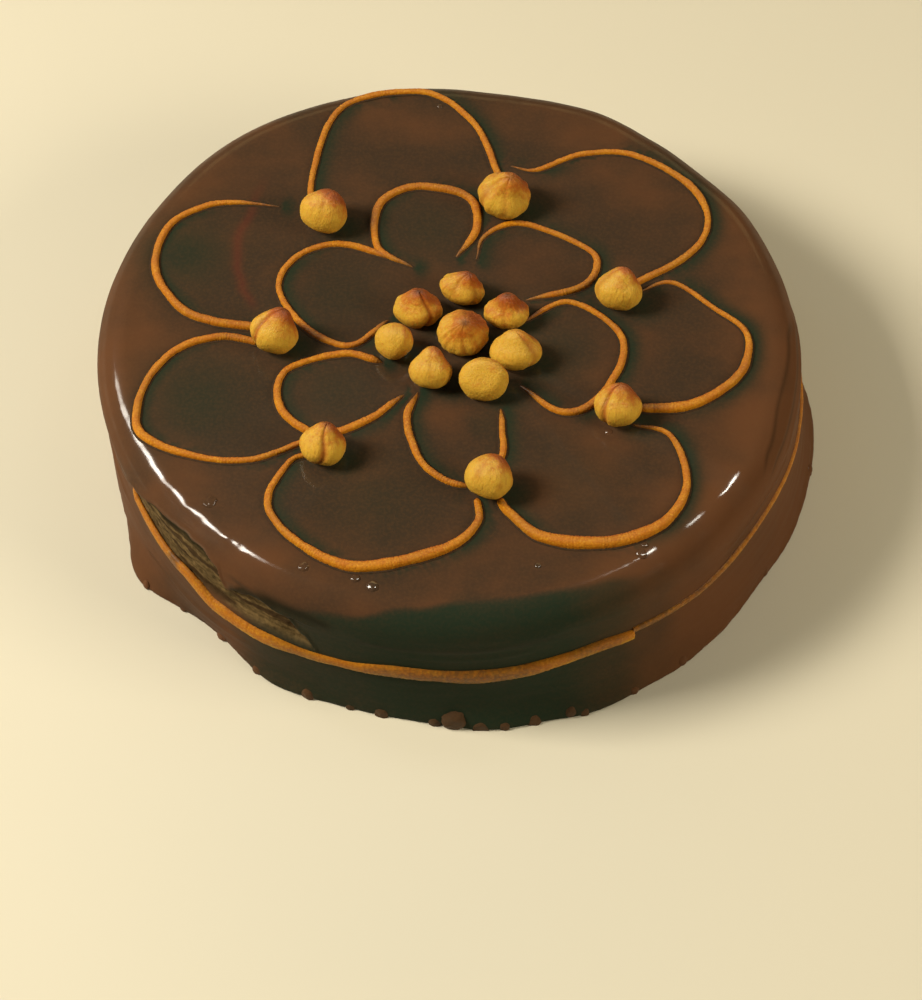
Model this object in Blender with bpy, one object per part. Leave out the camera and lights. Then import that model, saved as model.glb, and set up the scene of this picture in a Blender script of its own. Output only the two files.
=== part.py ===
"""Round chocolate cake under a poured glaze, with piped caramel icing and whole hazelnuts on top.

Metres, +Z up. The origin is the middle of the cake's foot, on the surface that it stands on, and the front,
where the widest icing loops are, faces -Y. The glazed cake and the icing piped on it are one solid, and each
hazelnut is a solid of its own.
"""

import math
from collections import namedtuple

import bmesh
import bpy
from mathutils import Vector

MM = 0.001

# The cake, a 20 cm round with the glaze poured over it
HEIGHT = 47.5 * MM
SHOULDER_RADIUS = 102.5 * MM
RIM_RADIUS = 9.5 * MM
FLARE = 2.5 * MM  # how much wider the foot is than the shoulder
FLARE_HEIGHT = 12 * MM
LEAN = Vector((-4.5 * MM, -1.3 * MM))  # how far the top sits off the foot's middle
LEAN_HEIGHT = 20 * MM
SIDE_LEVELS = (0, 1.5, 5, 10, 16, 22, 27, 32, 37)  # millimetres
RIM_STEPS = 5
ROUND_STEPS = 120

# Swells and hollows of the glaze: azimuth and spread in degrees, the rest in millimetres
Swell = namedtuple("Swell", "azimuth spread level level_spread out")
SWELLS = (
    Swell(130, 16, 42, 22, 1.5),
    Swell(82, 12, 42, 22, -1.7),
    Swell(64, 5, 46, 8, 0.4),
    Swell(54, 4, 46, 8, -0.5),
    Swell(43, 9, 42, 18, -0.8),
    Swell(31, 6, 42, 18, 0.5),
    Swell(8, 9, 42, 18, -0.6),
    Swell(206, 13, 24, 10, -2.2),
    Swell(238, 12, 18, 7, 0.6),
    Swell(211, 7, 0, 5, 5.2),
    Swell(227, 8, 0, 5, -2.0),
    Swell(241, 7, 0, 4, 2.0),
    Swell(275, 7, 1, 4, 2.4),
    Swell(291, 9, 0, 4, 2.6),
    Swell(306, 6, 0, 4, 0.9),
    Swell(327, 8, 0, 5, -1.5),
    Swell(2, 12, 0, 5, 1.3),
    Swell(44, 10, 0, 4, 1.2),
    Swell(96, 12, 0, 4, 1.6),
    Swell(150, 10, 0, 4, 1.8),
)

# The patch at the left front that the glaze ran past: the level of the glaze's lip in millimetres by azimuth,
# and how far the cake sits back below it
PATCH_LIP = ((200, 30), (211, 36), (222, 41), (229, 42), (233, 34), (239, 38), (247, 28))
PATCH_DEPTH = 1.3 * MM
PATCH_FOOT = 24 * MM  # the level from which the ring of icing hides it
PATCH_EDGE = 2.5 * MM

# The icing, piped as low round-topped beads
BEAD_HEIGHT = 0.62  # of its width
BEAD_SINK = 1.2 * MM
BEAD_STEP = 5.6 * MM
ROUTE_PIECES = 12  # between two of a petal's points
BEAD_TIP = 0.7  # of its width, the length over which an end rounds off
BEAD_FIRST_RING = 0.25  # of that length, the place of the first ring after the end
BEAD_ARC = (165, 115, 65, 15)  # degrees round its top
BEAD_THINNEST = 0.3  # of its full section, at its very end
BEAD_SWELLING = 1 / 3  # of its length, over which its first width grows to the middle one

# Each petal's line in millimetres on the cake's top, with its width at the start, the middle and the end
Petal = namedtuple("Petal", "widths points")
OUTER_PETALS = (
    Petal(
        (2.2, 2.5, 2.4),
        ((-46, 44), (-46.5, 58), (-42, 80.5), (-32.5, 90.5),
         (-12, 93), (2, 80.5), (8.5, 63), (11, 52)),
    ),
    Petal(
        (1.0, 2.5, 2.4),
        ((13, 63.5), (21, 62), (34.5, 68.5), (50.5, 68.5),
         (67, 56.5), (72, 42), (65.5, 29), (48, 16.5)),
    ),
    Petal(
        (1.0, 2.3, 3.3),
        ((49.5, 14), (60.5, 18.5), (72.5, 9), (81.5, 0),
         (80.5, -12.5), (74, -21), (63, -27.5), (48.5, -28.5)),
    ),
    Petal(
        (1.3, 3.3, 3.0),
        ((47.5, -34), (58.5, -38), (62.5, -54.5), (55.5, -68.5),
         (40.5, -75), (23, -74), (13, -65.5), (9.5, -59.5)),
    ),
    Petal(
        (2.2, 3.2, 2.2),
        ((4, -60), (4, -69.5), (-5.5, -78.5), (-28.5, -84.5),
         (-45, -76.5), (-54, -63.5), (-49, -49.5), (-43, -46)),
    ),
    Petal(
        (2.0, 2.6, 2.4),
        ((-44, -41.5), (-59.5, -48.5), (-75.5, -47.5), (-91, -39.5),
         (-91.5, -24), (-83.5, -10), (-70.5, -4.5), (-57, -7)),
    ),
    Petal(
        (2.3, 2.7, 1.0),
        ((-57.5, -1), (-72, 1), (-82.5, 6), (-91, 20.5),
         (-88.5, 37), (-77.5, 46), (-64, 47.5), (-58, 46)),
    ),
)
INNER_PETALS = (
    Petal(
        (1.7, 2.6, 1.2),
        ((-15.5, 23), (-26, 30.5), (-26, 47), (-15, 54.5),
         (0.5, 50.5), (3, 38), (-3, 27)),
    ),
    Petal(
        (0.9, 2.2, 1.4),
        ((3, 26), (5.5, 35.5), (15.5, 40.5), (29.5, 35),
         (38.5, 27.5), (34.5, 16.5), (17.5, 11)),
    ),
    Petal(
        (1.6, 2.3, 1.6),
        ((16.5, 2.5), (30, 10.5), (43.5, 1), (45.5, -10.5),
         (37.5, -26), (27.5, -30), (16, -20.5)),
    ),
    Petal(
        (2.0, 2.6, 1.4),
        ((-13, -23.5), (-16, -34), (-10.5, -50), (2, -56.5),
         (10.5, -47), (11, -37), (10.5, -29)),
    ),
    Petal(
        (2.0, 2.6, 2.0),
        ((-23.5, -13), (-35, -10), (-51, -16.5), (-52, -30),
         (-41, -39), (-28, -34.5), (-17, -24.5)),
    ),
    Petal(
        (2.0, 2.5, 2.0),
        ((-21, 26), (-37.5, 31.5), (-50, 26), (-54.5, 14),
         (-46, -0.5), (-33, -7), (-22, 3)),
    ),
)

# The ring of icing piped round the side, from its start round to its end: azimuth in degrees, then its level
# and its width in millimetres
RING_PROUD = 1.3 * MM
RING_SINK = 1.5 * MM
RING_STEPS = 120
RING_COURSE = (
    (300, 26.0, 3.6), (312, 25.2, 3.6), (331, 28.0, 3.0), (348, 25.0, 3.0), (372, 22.5, 3.4), (480, 22.0, 4.0),
    (560, 24.5, 3.0), (577, 24.8, 4.0), (584, 25.2, 4.6), (591, 21.8, 5.4), (602, 21.0, 5.4), (612, 21.8, 4.6),
    (623, 23.3, 5.0), (636, 22.5, 5.6), (655, 25.2, 4.8), (660, 24.4, 4.6),
)

# The hazelnuts: place and width in millimetres, depth over width, where the tip points in degrees, length over
# width, how far the tip is drawn out, how deep the ribs are, and the azimuth of a crease
Hazelnut = namedtuple("Hazelnut", "x y size depth tip_azimuth tip_lift length point rib crease")
PETAL_NUTS = (
    Hazelnut(-42.2, 38.9, 14.4, 0.95, 50, 55, 0.96, 0.06, 0.00, None),
    Hazelnut(11.2, 47.0, 16.3, 0.89, 330, 78, 0.90, 0.18, 0.05, 200),
    Hazelnut(44.5, 11.0, 14.3, 0.90, 60, 66, 0.92, 0.14, 0.04, 190),
    Hazelnut(43.6, -31.1, 14.0, 0.96, 85, 72, 0.90, 0.14, 0.03, 215),
    Hazelnut(7.2, -57.7, 13.8, 0.95, 60, 50, 0.96, 0.06, 0.01, None),
    Hazelnut(-39.2, -46.4, 13.4, 0.95, 60, 70, 0.94, 0.15, 0.02, 250),
    Hazelnut(-54.6, -6.5, 14.5, 0.96, 40, 62, 0.94, 0.16, 0.02, 205),
)
CENTRE_NUTS = (
    Hazelnut(-0.5, -5.5, 15.3, 0.87, 283, 72, 0.80, 0.16, 0.05, None),
    Hazelnut(-0.9, 11.7, 13.9, 0.80, 22, 70, 0.74, 0.18, 0.04, 300),
    Hazelnut(12.0, 3.5, 13.4, 0.82, 90, 82, 0.80, 0.24, 0.04, None),
    Hazelnut(14.7, -11.3, 15.4, 0.86, 100, 76, 0.78, 0.16, 0.03, 320),
    Hazelnut(5.6, -23.0, 14.4, 0.80, 90, -56, 0.84, 0.10, 0.03, None),
    Hazelnut(-9.6, -19.6, 12.8, 0.93, 78, 60, 0.94, 0.20, 0.02, None),
    Hazelnut(-20.2, -9.5, 11.2, 0.98, 268, -6, 0.98, 0.06, 0.00, None),
    Hazelnut(-13.6, 3.9, 14.6, 0.87, 60, 84, 0.80, 0.18, 0.03, 285),
)
NUT_GAP = 0.3 * MM
NUT_SEGMENTS = 15
NUT_RINGS = 10
NUT_SETTLE = 0.08  # of its width, what the flat that it rests on takes off
NUT_BASE = 0.82  # where its broad end is flattened, as a share of its radius
NUT_RIBS = 5
CREASE_SPREAD = 22  # degrees
CREASE_DEPTH = 0.09
TIP_SPREAD = 26  # degrees
SHOULDER_DIP = 0.7  # of the tip, how much the kernel narrows below it
SHOULDER_FROM_TIP = 50  # degrees
CLEAR_OF_NUT = 0.46  # of a nut's width, the distance from its middle at which icing stops

SHARP_ICING = math.radians(40)
SHARP_NUT = math.radians(50)

GLAZE_COLOUR = (0.075, 0.034, 0.020)
ICING_COLOUR = (0.62, 0.25, 0.045)
NUT_COLOUR = (0.72, 0.42, 0.11)


def clear_scene():
    for scene_object in list(bpy.data.objects):
        bpy.data.objects.remove(scene_object, do_unlink=True)


def material(name, colour, roughness):
    finish = bpy.data.materials.new(name)
    finish.use_nodes = True
    shader = finish.node_tree.nodes["Principled BSDF"]
    shader.inputs["Base Color"].default_value = (*colour, 1)
    shader.inputs["Roughness"].default_value = roughness
    shader.inputs["Metallic"].default_value = 0
    return finish


def bell(distance, spread):
    return math.exp(-((distance / spread) ** 2))


def angle_between(first, second):
    return (first - second + 180) % 360 - 180


def smoothstep(value):
    share = min(max(value, 0), 1)
    return share * share * (3 - 2 * share)


def value_at(azimuth, course, column=1):
    """A column of a course of (azimuth, millimetres, ...) between two of its rows, in metres."""
    for before, after in zip(course, course[1:]):
        if before[0] <= azimuth <= after[0]:
            share = smoothstep((azimuth - before[0]) / (after[0] - before[0]))
            return (before[column] + (after[column] - before[column]) * share) * MM
    return 0


def middle_at(z):
    """The middle of the outline at this height, which drifts as the cake leans."""
    share = (1 - math.exp(-z / LEAN_HEIGHT)) / (1 - math.exp(-HEIGHT / LEAN_HEIGHT))
    return Vector((LEAN.x * share, LEAN.y * (z / HEIGHT) ** 2))


def rim_start():
    return HEIGHT - RIM_RADIUS


def rim_setback(z):
    rise = min(max(z - rim_start(), 0), RIM_RADIUS)
    return RIM_RADIUS - math.sqrt(RIM_RADIUS**2 - rise**2)


def patch_setback(azimuth, z):
    """How far the bare patch sits behind the glaze, from the icing ring up to the glaze's lip."""
    lip = value_at(azimuth, PATCH_LIP)
    under_lip = smoothstep((lip - z) / PATCH_EDGE)
    above_ring = smoothstep((z - PATCH_FOOT) / PATCH_EDGE)
    return PATCH_DEPTH * under_lip * above_ring


def outline_radius(azimuth, z):
    """The glaze's distance from the middle of the outline, in the direction of this azimuth."""
    radius = SHOULDER_RADIUS + FLARE * math.exp(-z / FLARE_HEIGHT)
    for swell in SWELLS:
        turned = bell(angle_between(azimuth, swell.azimuth), swell.spread)
        radius += swell.out * MM * turned * bell(z - swell.level * MM, swell.level_spread * MM)
    return radius - rim_setback(z) - patch_setback(azimuth, z)


def direction(azimuth):
    return Vector((math.cos(math.radians(azimuth)), math.sin(math.radians(azimuth))))


def side_point(azimuth, z):
    across = middle_at(z) + direction(azimuth) * outline_radius(azimuth, z)
    return across.to_3d() + Vector((0, 0, z))


def top_height(x, y):
    """The glaze's height at a place on the top, which falls away where the rim rounds."""
    spoke = Vector((x, y)) - middle_at(HEIGHT)
    azimuth = math.degrees(math.atan2(spoke.y, spoke.x))
    past_flat = spoke.length - outline_radius(azimuth, HEIGHT)
    if past_flat <= 0:
        return HEIGHT
    return rim_start() + math.sqrt(max(RIM_RADIUS**2 - past_flat**2, 0))


def loft(name, rings, finishes, finish_index):
    """An object whose skin runs through rings of equally many points, capped at both ends."""
    skin = bmesh.new()
    rows = [[skin.verts.new(point) for point in ring] for ring in rings]
    for lower, upper in zip(rows, rows[1:]):
        for i in range(len(lower)):
            skin.faces.new((lower[i - 1], lower[i], upper[i], upper[i - 1]))
    skin.faces.new(rows[0])
    skin.faces.new(rows[-1])
    bmesh.ops.recalc_face_normals(skin, faces=skin.faces)
    for face in skin.faces:
        face.material_index = finish_index
    mesh = bpy.data.meshes.new(name)
    skin.to_mesh(mesh)
    skin.free()
    for finish in finishes:
        mesh.materials.append(finish)
    return bpy.data.objects.new(name, mesh)


def cake_body(finishes):
    levels = [level * MM for level in SIDE_LEVELS]
    for step in range(1, RIM_STEPS + 1):
        levels.append(rim_start() + RIM_RADIUS * math.sin(math.pi / 2 * step / RIM_STEPS))
    turns = [360 * i / ROUND_STEPS for i in range(ROUND_STEPS)]
    rings = [[side_point(azimuth, z) for azimuth in turns] for z in levels]
    return loft("glazed_cake", rings, finishes, 0)


def smooth_route(points):
    """Closely spaced points on a smooth curve through a petal's own points, in metres."""
    knots = [Vector(point) * MM for point in points]
    knots = [2 * knots[0] - knots[1], *knots, 2 * knots[-1] - knots[-2]]
    route = []
    for before, start, end, after in zip(knots, knots[1:], knots[2:], knots[3:]):
        for piece in range(ROUTE_PIECES):
            t = piece / ROUTE_PIECES
            bend = 2 * before - 5 * start + 4 * end - after
            twist = 3 * start - before - 3 * end + after
            route.append(0.5 * (2 * start + (end - before) * t + bend * t**2 + twist * t**3))
    return [*route, knots[-2]]


def is_under(point, nut):
    return (point - Vector((nut.x, nut.y)) * MM).length < CLEAR_OF_NUT * nut.size * MM


def clear_stretches(route, nuts):
    """The runs of the route that no hazelnut covers."""
    runs = [[]]
    for point in route:
        covered = any(is_under(point, nut) for nut in nuts)
        if covered and runs[-1]:
            runs.append([])
        elif not covered:
            runs[-1].append(point)
    return [run for run in runs if len(run) > 2]


def even_places(length, width):
    """Distances along a bead at which it has a ring: close together at its round ends, then evenly spaced."""
    tip = BEAD_TIP * width
    steps = max(round((length - 2 * tip) / BEAD_STEP), 1)
    middle = [tip + (length - 2 * tip) * step / steps for step in range(steps + 1)]
    first = BEAD_FIRST_RING * tip
    return [0, first, *middle, length - first, length]


def tip_scale(distance, length, width):
    """How much of its full section a bead has at a distance from its start."""
    share = min(min(distance, length - distance) / (BEAD_TIP * width), 1)
    return max(math.sqrt(1 - (1 - share) ** 2), BEAD_THINNEST)


def bead_section(width, height, sink):
    """Across and up: the base corners under the glaze, and a round top."""
    arc = [math.radians(angle) for angle in BEAD_ARC]
    top = [(width / 2 * math.cos(angle), height * math.sin(angle)) for angle in arc]
    return [(-width / 2, -sink), *top, (width / 2, -sink)]


def top_bead(name, run, width_at, finishes):
    """A bead of icing on the cake's top, following a run of points."""
    travelled = [0]
    for here, there in zip(run, run[1:]):
        travelled.append(travelled[-1] + (there - here).length)
    length = travelled[-1]
    rings = []
    for place in even_places(length, width_at(length / 2, length)):
        last = max(i for i, distance in enumerate(travelled) if distance <= place + 1e-9)
        last = min(last, len(run) - 2)
        share = (place - travelled[last]) / (travelled[last + 1] - travelled[last])
        centre = run[last].lerp(run[last + 1], share)
        along = (run[min(last + 2, len(run) - 1)] - run[max(last - 1, 0)]).normalized()
        across = Vector((along.y, -along.x))
        width = width_at(place, length)
        scale = tip_scale(place, length, width)
        ring = []
        for side, up in bead_section(width * scale, BEAD_HEIGHT * width * scale, BEAD_SINK):
            spot = centre + across * side
            ring.append(Vector((spot.x, spot.y, top_height(spot.x, spot.y) + up)))
        rings.append(ring)
    return loft(name, rings, finishes, 1)


def petal_beads(name, petal, nuts, finishes):
    start, middle, end = (width * MM for width in petal.widths)

    def width_at(place, length):
        share = place / length
        if share < 0.5:
            return start + (middle - start) * smoothstep(share / BEAD_SWELLING)
        return middle + (end - middle) * smoothstep((share - 0.5) * 2)

    runs = clear_stretches(smooth_route(petal.points), nuts)
    return [top_bead(f"{name}_{i}", run, width_at, finishes) for i, run in enumerate(runs)]


def side_ring(finishes):
    """The icing piped once round the side, its two ends lapping where the piping closed."""
    first, last = RING_COURSE[0][0], RING_COURSE[-1][0]
    rings = []
    for step in range(RING_STEPS + 1):
        azimuth = first + (last - first) * step / RING_STEPS
        on_side = side_point(azimuth, value_at(azimuth, RING_COURSE))
        outward = direction(azimuth).to_3d()
        section = bead_section(value_at(azimuth, RING_COURSE, 2), RING_PROUD, RING_SINK)
        rings.append([on_side + outward * out + Vector((0, 0, up)) for up, out in section])
    return loft("side_ring", rings, finishes, 1)


def join_all(base, extras):
    """Fuses the icing to the cake with one union on a collection, which is then removed."""
    icing = bpy.data.collections.new("icing")
    for extra in extras:
        icing.objects.link(extra)
    union = base.modifiers.new("fuse_icing", "BOOLEAN")
    union.operation = "UNION"
    union.solver = "EXACT"
    union.operand_type = "COLLECTION"
    union.collection = icing
    union.material_mode = "TRANSFER"
    bpy.context.view_layer.update()
    graph = bpy.context.evaluated_depsgraph_get()
    fused = bpy.data.meshes.new_from_object(base.evaluated_get(graph))
    base.modifiers.clear()
    base.data = fused
    for extra in extras:
        bpy.data.objects.remove(extra, do_unlink=True)
    bpy.data.collections.remove(icing)


def nut_radius(nut, from_tip, azimuth):
    """The kernel's radius, for a width of 2, in a direction given by two angles in degrees about its axis."""
    radius = 1 + nut.point * bell(from_tip, TIP_SPREAD)
    radius -= SHOULDER_DIP * nut.point * bell(from_tip - SHOULDER_FROM_TIP, TIP_SPREAD)
    waist = math.sin(math.radians(from_tip))
    radius += nut.rib * waist * math.cos(math.radians(NUT_RIBS * azimuth))
    if nut.crease is not None:
        radius -= CREASE_DEPTH * waist * bell(angle_between(azimuth, nut.crease), CREASE_SPREAD)
    return radius


def hazelnut(name, nut, finish):
    """A kernel with a flattened broad end and a drawn-out tip, resting on a flat spot just above the glaze."""
    kernel = bmesh.new()
    bmesh.ops.create_uvsphere(kernel, u_segments=NUT_SEGMENTS, v_segments=NUT_RINGS, radius=1)
    for vertex in kernel.verts:
        from_tip = math.degrees(vertex.co.angle(Vector((0, 0, 1))))
        azimuth = math.degrees(math.atan2(vertex.co.y, vertex.co.x))
        vertex.co *= nut_radius(nut, from_tip, azimuth)
        vertex.co.z = max(vertex.co.z, -NUT_BASE) * nut.length
    tilt = Vector((0, 0, 1)).rotation_difference(
        direction(nut.tip_azimuth).to_3d() * math.cos(math.radians(nut.tip_lift))
        + Vector((0, 0, math.sin(math.radians(nut.tip_lift))))
    )
    for vertex in kernel.verts:
        vertex.co = tilt @ vertex.co * (nut.size / 2 * MM)
        vertex.co.y *= nut.depth
    spans = [(min(axis), max(axis)) for axis in zip(*(vertex.co for vertex in kernel.verts))]
    rest = HEIGHT + NUT_GAP
    shift = Vector((nut.x * MM - sum(spans[0]) / 2, nut.y * MM - sum(spans[1]) / 2, 0))
    shift.z = rest - spans[2][0] - NUT_SETTLE * nut.size * MM
    bmesh.ops.translate(kernel, verts=kernel.verts, vec=shift)
    cut = bmesh.ops.bisect_plane(
        kernel, geom=[*kernel.verts, *kernel.edges, *kernel.faces],
        plane_co=(0, 0, rest), plane_no=(0, 0, 1), clear_inner=True,
    )
    cut_edges = [part for part in cut["geom_cut"] if isinstance(part, bmesh.types.BMEdge)]
    bmesh.ops.edgeloop_fill(kernel, edges=cut_edges)
    bmesh.ops.recalc_face_normals(kernel, faces=kernel.faces)
    mesh = bpy.data.meshes.new(name)
    kernel.to_mesh(mesh)
    kernel.free()
    mesh.materials.append(finish)
    mesh.shade_smooth()
    mesh.set_sharp_from_angle(angle=SHARP_NUT)
    bpy.context.scene.collection.objects.link(bpy.data.objects.new(name, mesh))


def main():
    clear_scene()
    glaze = material("chocolate_glaze", GLAZE_COLOUR, 0.3)
    icing = material("caramel_icing", ICING_COLOUR, 0.6)
    kernel = material("hazelnut_kernel", NUT_COLOUR, 0.55)
    nuts = [*PETAL_NUTS, *CENTRE_NUTS]

    cake = cake_body((glaze, icing))
    bpy.context.scene.collection.objects.link(cake)
    extras = [side_ring((glaze, icing))]
    for i, petal in enumerate([*OUTER_PETALS, *INNER_PETALS], 1):
        extras += petal_beads(f"petal_{i}", petal, nuts, (glaze, icing))
    join_all(cake, extras)
    cake.data.shade_smooth()
    cake.data.set_sharp_from_angle(angle=SHARP_ICING)

    for group, members in (("petal", PETAL_NUTS), ("centre", CENTRE_NUTS)):
        for i, nut in enumerate(members, 1):
            hazelnut(f"hazelnut_{group}_{i}", nut, kernel)


main()
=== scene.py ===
"""The looks of a round chocolate cake: poured glaze, piped caramel icing and toasted hazelnut kernels.

Metres, +Z up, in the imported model's own frame, with the front towards -Y. The glaze is one skin over side, rim
and top. The icing is swept along its lines by Geometry Nodes, and every kernel fills the box of its own node.
"""

import math
from collections import namedtuple

import bmesh
import bpy
import numpy as np
from mathutils import Matrix, Vector, noise
from mathutils.geometry import delaunay_2d_cdt


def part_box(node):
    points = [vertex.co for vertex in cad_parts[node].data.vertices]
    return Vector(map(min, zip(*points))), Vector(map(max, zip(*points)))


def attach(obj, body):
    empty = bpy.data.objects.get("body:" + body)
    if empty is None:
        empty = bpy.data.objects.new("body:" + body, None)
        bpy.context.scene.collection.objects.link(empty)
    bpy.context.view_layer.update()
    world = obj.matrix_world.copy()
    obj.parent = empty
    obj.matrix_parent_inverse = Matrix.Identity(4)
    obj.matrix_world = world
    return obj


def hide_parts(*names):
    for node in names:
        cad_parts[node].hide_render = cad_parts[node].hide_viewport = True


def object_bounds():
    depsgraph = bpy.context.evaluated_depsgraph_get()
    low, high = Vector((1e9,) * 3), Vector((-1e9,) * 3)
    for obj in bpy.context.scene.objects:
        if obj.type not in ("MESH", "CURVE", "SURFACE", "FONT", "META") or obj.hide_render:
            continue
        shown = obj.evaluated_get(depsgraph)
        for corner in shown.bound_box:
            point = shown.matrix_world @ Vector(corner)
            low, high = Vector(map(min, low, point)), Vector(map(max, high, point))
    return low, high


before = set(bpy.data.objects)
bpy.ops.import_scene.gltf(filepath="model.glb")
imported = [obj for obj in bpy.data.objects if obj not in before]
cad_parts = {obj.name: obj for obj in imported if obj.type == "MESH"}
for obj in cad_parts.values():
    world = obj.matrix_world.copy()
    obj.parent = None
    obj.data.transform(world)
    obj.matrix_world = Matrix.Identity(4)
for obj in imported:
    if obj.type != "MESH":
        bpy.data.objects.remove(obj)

CAD_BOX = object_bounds()
MM = 0.001
CAKE = "glazed_cake"
BODY = "root"


def table(fields, *rows):
    """Rows whose columns have names."""
    kind = namedtuple("Row", fields)
    return [kind(*row) for row in rows]


# The cake's form, as it was made
HEIGHT = 47.5 * MM
SHOULDER_RADIUS = 102.5 * MM
RIM_RADIUS = 9.5 * MM
RIM_START = HEIGHT - RIM_RADIUS
FLARE = 2.5 * MM
FLARE_HEIGHT = 12 * MM
LEAN = (-4.5 * MM, -1.3 * MM)
LEAN_HEIGHT = 20 * MM

# Swells and hollows of the glaze: azimuth and spread in degrees, the rest in millimetres
SWELLS = table(
    "azimuth spread level level_spread out",
    (130, 16, 42, 22, 1.5), (82, 12, 42, 22, -1.7), (64, 5, 46, 8, 0.4), (54, 4, 46, 8, -0.5), (43, 9, 42, 18, -0.8),
    (31, 6, 42, 18, 0.5), (8, 9, 42, 18, -0.6), (206, 13, 24, 10, -2.2), (238, 12, 18, 7, 0.6), (211, 7, 0, 5, 5.2),
    (227, 8, 0, 5, -2.0), (241, 7, 0, 4, 2.0), (275, 7, 1, 4, 2.4), (291, 9, 0, 4, 2.6), (306, 6, 0, 4, 0.9),
    (327, 8, 0, 5, -1.5), (2, 12, 0, 5, 1.3), (44, 10, 0, 4, 1.2), (96, 12, 0, 4, 1.6), (150, 10, 0, 4, 1.8),
    (192, 9, 27, 8, -1.8),
)

# The bare patch of cake at the left front, under the lip of the glaze
PATCH_LIP = (
    (186, 24), (195, 28.5), (204, 33.5), (211, 39.5), (217, 43), (223, 44.2), (228, 43.9), (231.5, 41.8), (233.8, 35),
    (236, 37.2), (240, 39), (244.5, 36.5), (247.5, 30), (249.5, 24),
)
PATCH_DEPTH = 1.3 * MM
PATCH_FOOT = 24 * MM
PATCH_EDGE = 2.5 * MM
CRUMB_RISE = 0.55 * MM
LIP_EDGE = 0.7 * MM
LIP_WOBBLE = 0.7 * MM
LIP_SWELL = 0.45 * MM
LIP_ROUND = 1.0 * MM
LIP_SHADE = (0.9 * MM, 1.3 * MM)  # how far below the lip its shade is darkest, and the shade's spread
# The painted shadow in the hollow under the lip's right part: azimuth, then level in millimetres
LIP_SHADOW_COURSE = ((233.5, 35.0), (235, 37.0), (237.5, 39.6), (242, 40.6), (247.2, 40.1), (253, 38.5))
LIP_SHADOW_SPREAD = 1.7 * MM

# Waves in the side and rim. The slow ones: rise and length. The knife's strokes: rise, length, how much closer they
# are up the side than along it, the noise's seed and the height over which they fade. The rest in millimetres.
SLOW_WAVE = (0.22 * MM, 24 * MM)
KNIFE_STROKES = (0.09 * MM, 26 * MM, 12, 3.1, 6 * MM)
SIDE_WAVES = table(
    "rise length closer seed level spread",
    (0.10, 5, 0.2, 7.7, 46, 4), (0.14, 11, 0.4, 4.9, 45, 5), (0.35, 6, 0.5, 6.1, 0, 4), (0.55, 2.6, 1, 2.6, 0.8, 1.6),
)
FOOT_FADE = 2 * MM  # the height over which the relief grows from the floor
# How far the glaze is drawn up to a kernel, then where and how fast it rises, over the kernel's width
DRAWN_UP = (0.30 * MM, 0.39, 0.10)

# Soft mounds in the rim's glaze: azimuth in degrees, then level, spread and rise in millimetres
MOUNDS = table(
    "azimuth level spread rise",
    (210, 47.2, 3.0, -0.10), (216, 47.0, 2.6, 0.12), (221.5, 47.0, 1.7, 0.16), (225, 47.1, 1.8, -0.10),
    (230.5, 47.2, 1.9, 0.20), (234, 47.3, 1.4, -0.08), (303.4, 47.3, 1.3, 0.14), (309, 47.2, 2.4, -0.12),
    (324.3, 47.1, 1.6, 0.16), (334, 45.0, 5.0, 0.30), (289, 8.0, 6.0, 0.35), (263, 12.0, 7.0, 0.30),
)

# Folds that the glaze left as it ran over the rim: their course in degrees and, measured up the side and over
# the rim, in millimetres, with their width and rise
FOLDS = table(
    "course width rise",
    (((331, 45.0), (336, 47.5), (346, 49.8), (360, 48.1), (366, 45.5)), 0.55, 0.42),
    (((332, 42.0), (337, 43.7), (348, 44.4), (359, 44.4), (368, 42.0)), 0.60, 0.45),
    (((338, 38.0), (346, 40.5), (358, 41.0), (372, 38.5)), 0.70, 0.35),
    (((318, 33.0), (330, 36.0), (342, 35.0)), 1.10, 0.30),
    (((208, 10.0), (216, 13.0), (226, 10.5), (238, 11.5)), 1.30, 0.40),
    (((183, 14.0), (192, 16.5), (204, 15.0)), 1.20, 0.35),
    (((233, 43.0), (238, 42.0), (244, 38.5), (251, 36.5)), 0.90, 0.55),
    (((254, 37.0), (263, 35.5), (276, 36.0), (290, 38.0)), 1.60, 0.35),
    (((262, 31.5), (274, 30.5), (285, 31.5)), 1.30, 0.25),
)

# Drops and lumps of glaze: azimuth in degrees, level and width in millimetres, thickness over width, and, on the
# flat top, the place of each in millimetres instead
DROPS = table(
    "azimuth level width thick",
    (220.5, 24.6, 2.4, 0.40), (260.5, 7.6, 1.8, 0.25), (269.6, 2.6, 7.6, 0.34), (266.4, 0.8, 4.4, 0.30),
    (273.4, 0.6, 5.0, 0.30), (277.0, 0.9, 3.6, 0.30), (281.6, 0.8, 4.6, 0.26), (287.4, 1.6, 3.8, 0.34),
    (289.4, 0.6, 3.4, 0.28), (298.0, 0.9, 3.2, 0.26), (307.4, 1.5, 3.6, 0.28), (317.2, 4.6, 1.9, 0.32),
    (329.7, 1.6, 3.4, 0.28), (352.0, 1.0, 3.8, 0.26), (20.0, 1.0, 4.2, 0.26), (58.0, 1.0, 3.6, 0.26),
    (86.0, 0.9, 5.2, 0.24), (110.0, 1.0, 4.2, 0.26), (140.0, 1.0, 3.4, 0.26), (172.0, 1.0, 3.8, 0.26),
    (213.0, 1.0, 3.2, 0.26), (220.0, 0.9, 3.4, 0.28), (228.5, 1.4, 4.2, 0.28), (237.0, 1.0, 3.6, 0.26),
    (246.0, 1.2, 4.6, 0.26), (253.0, 0.7, 3.4, 0.30), (258.0, 0.9, 4.6, 0.28),
)
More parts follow.
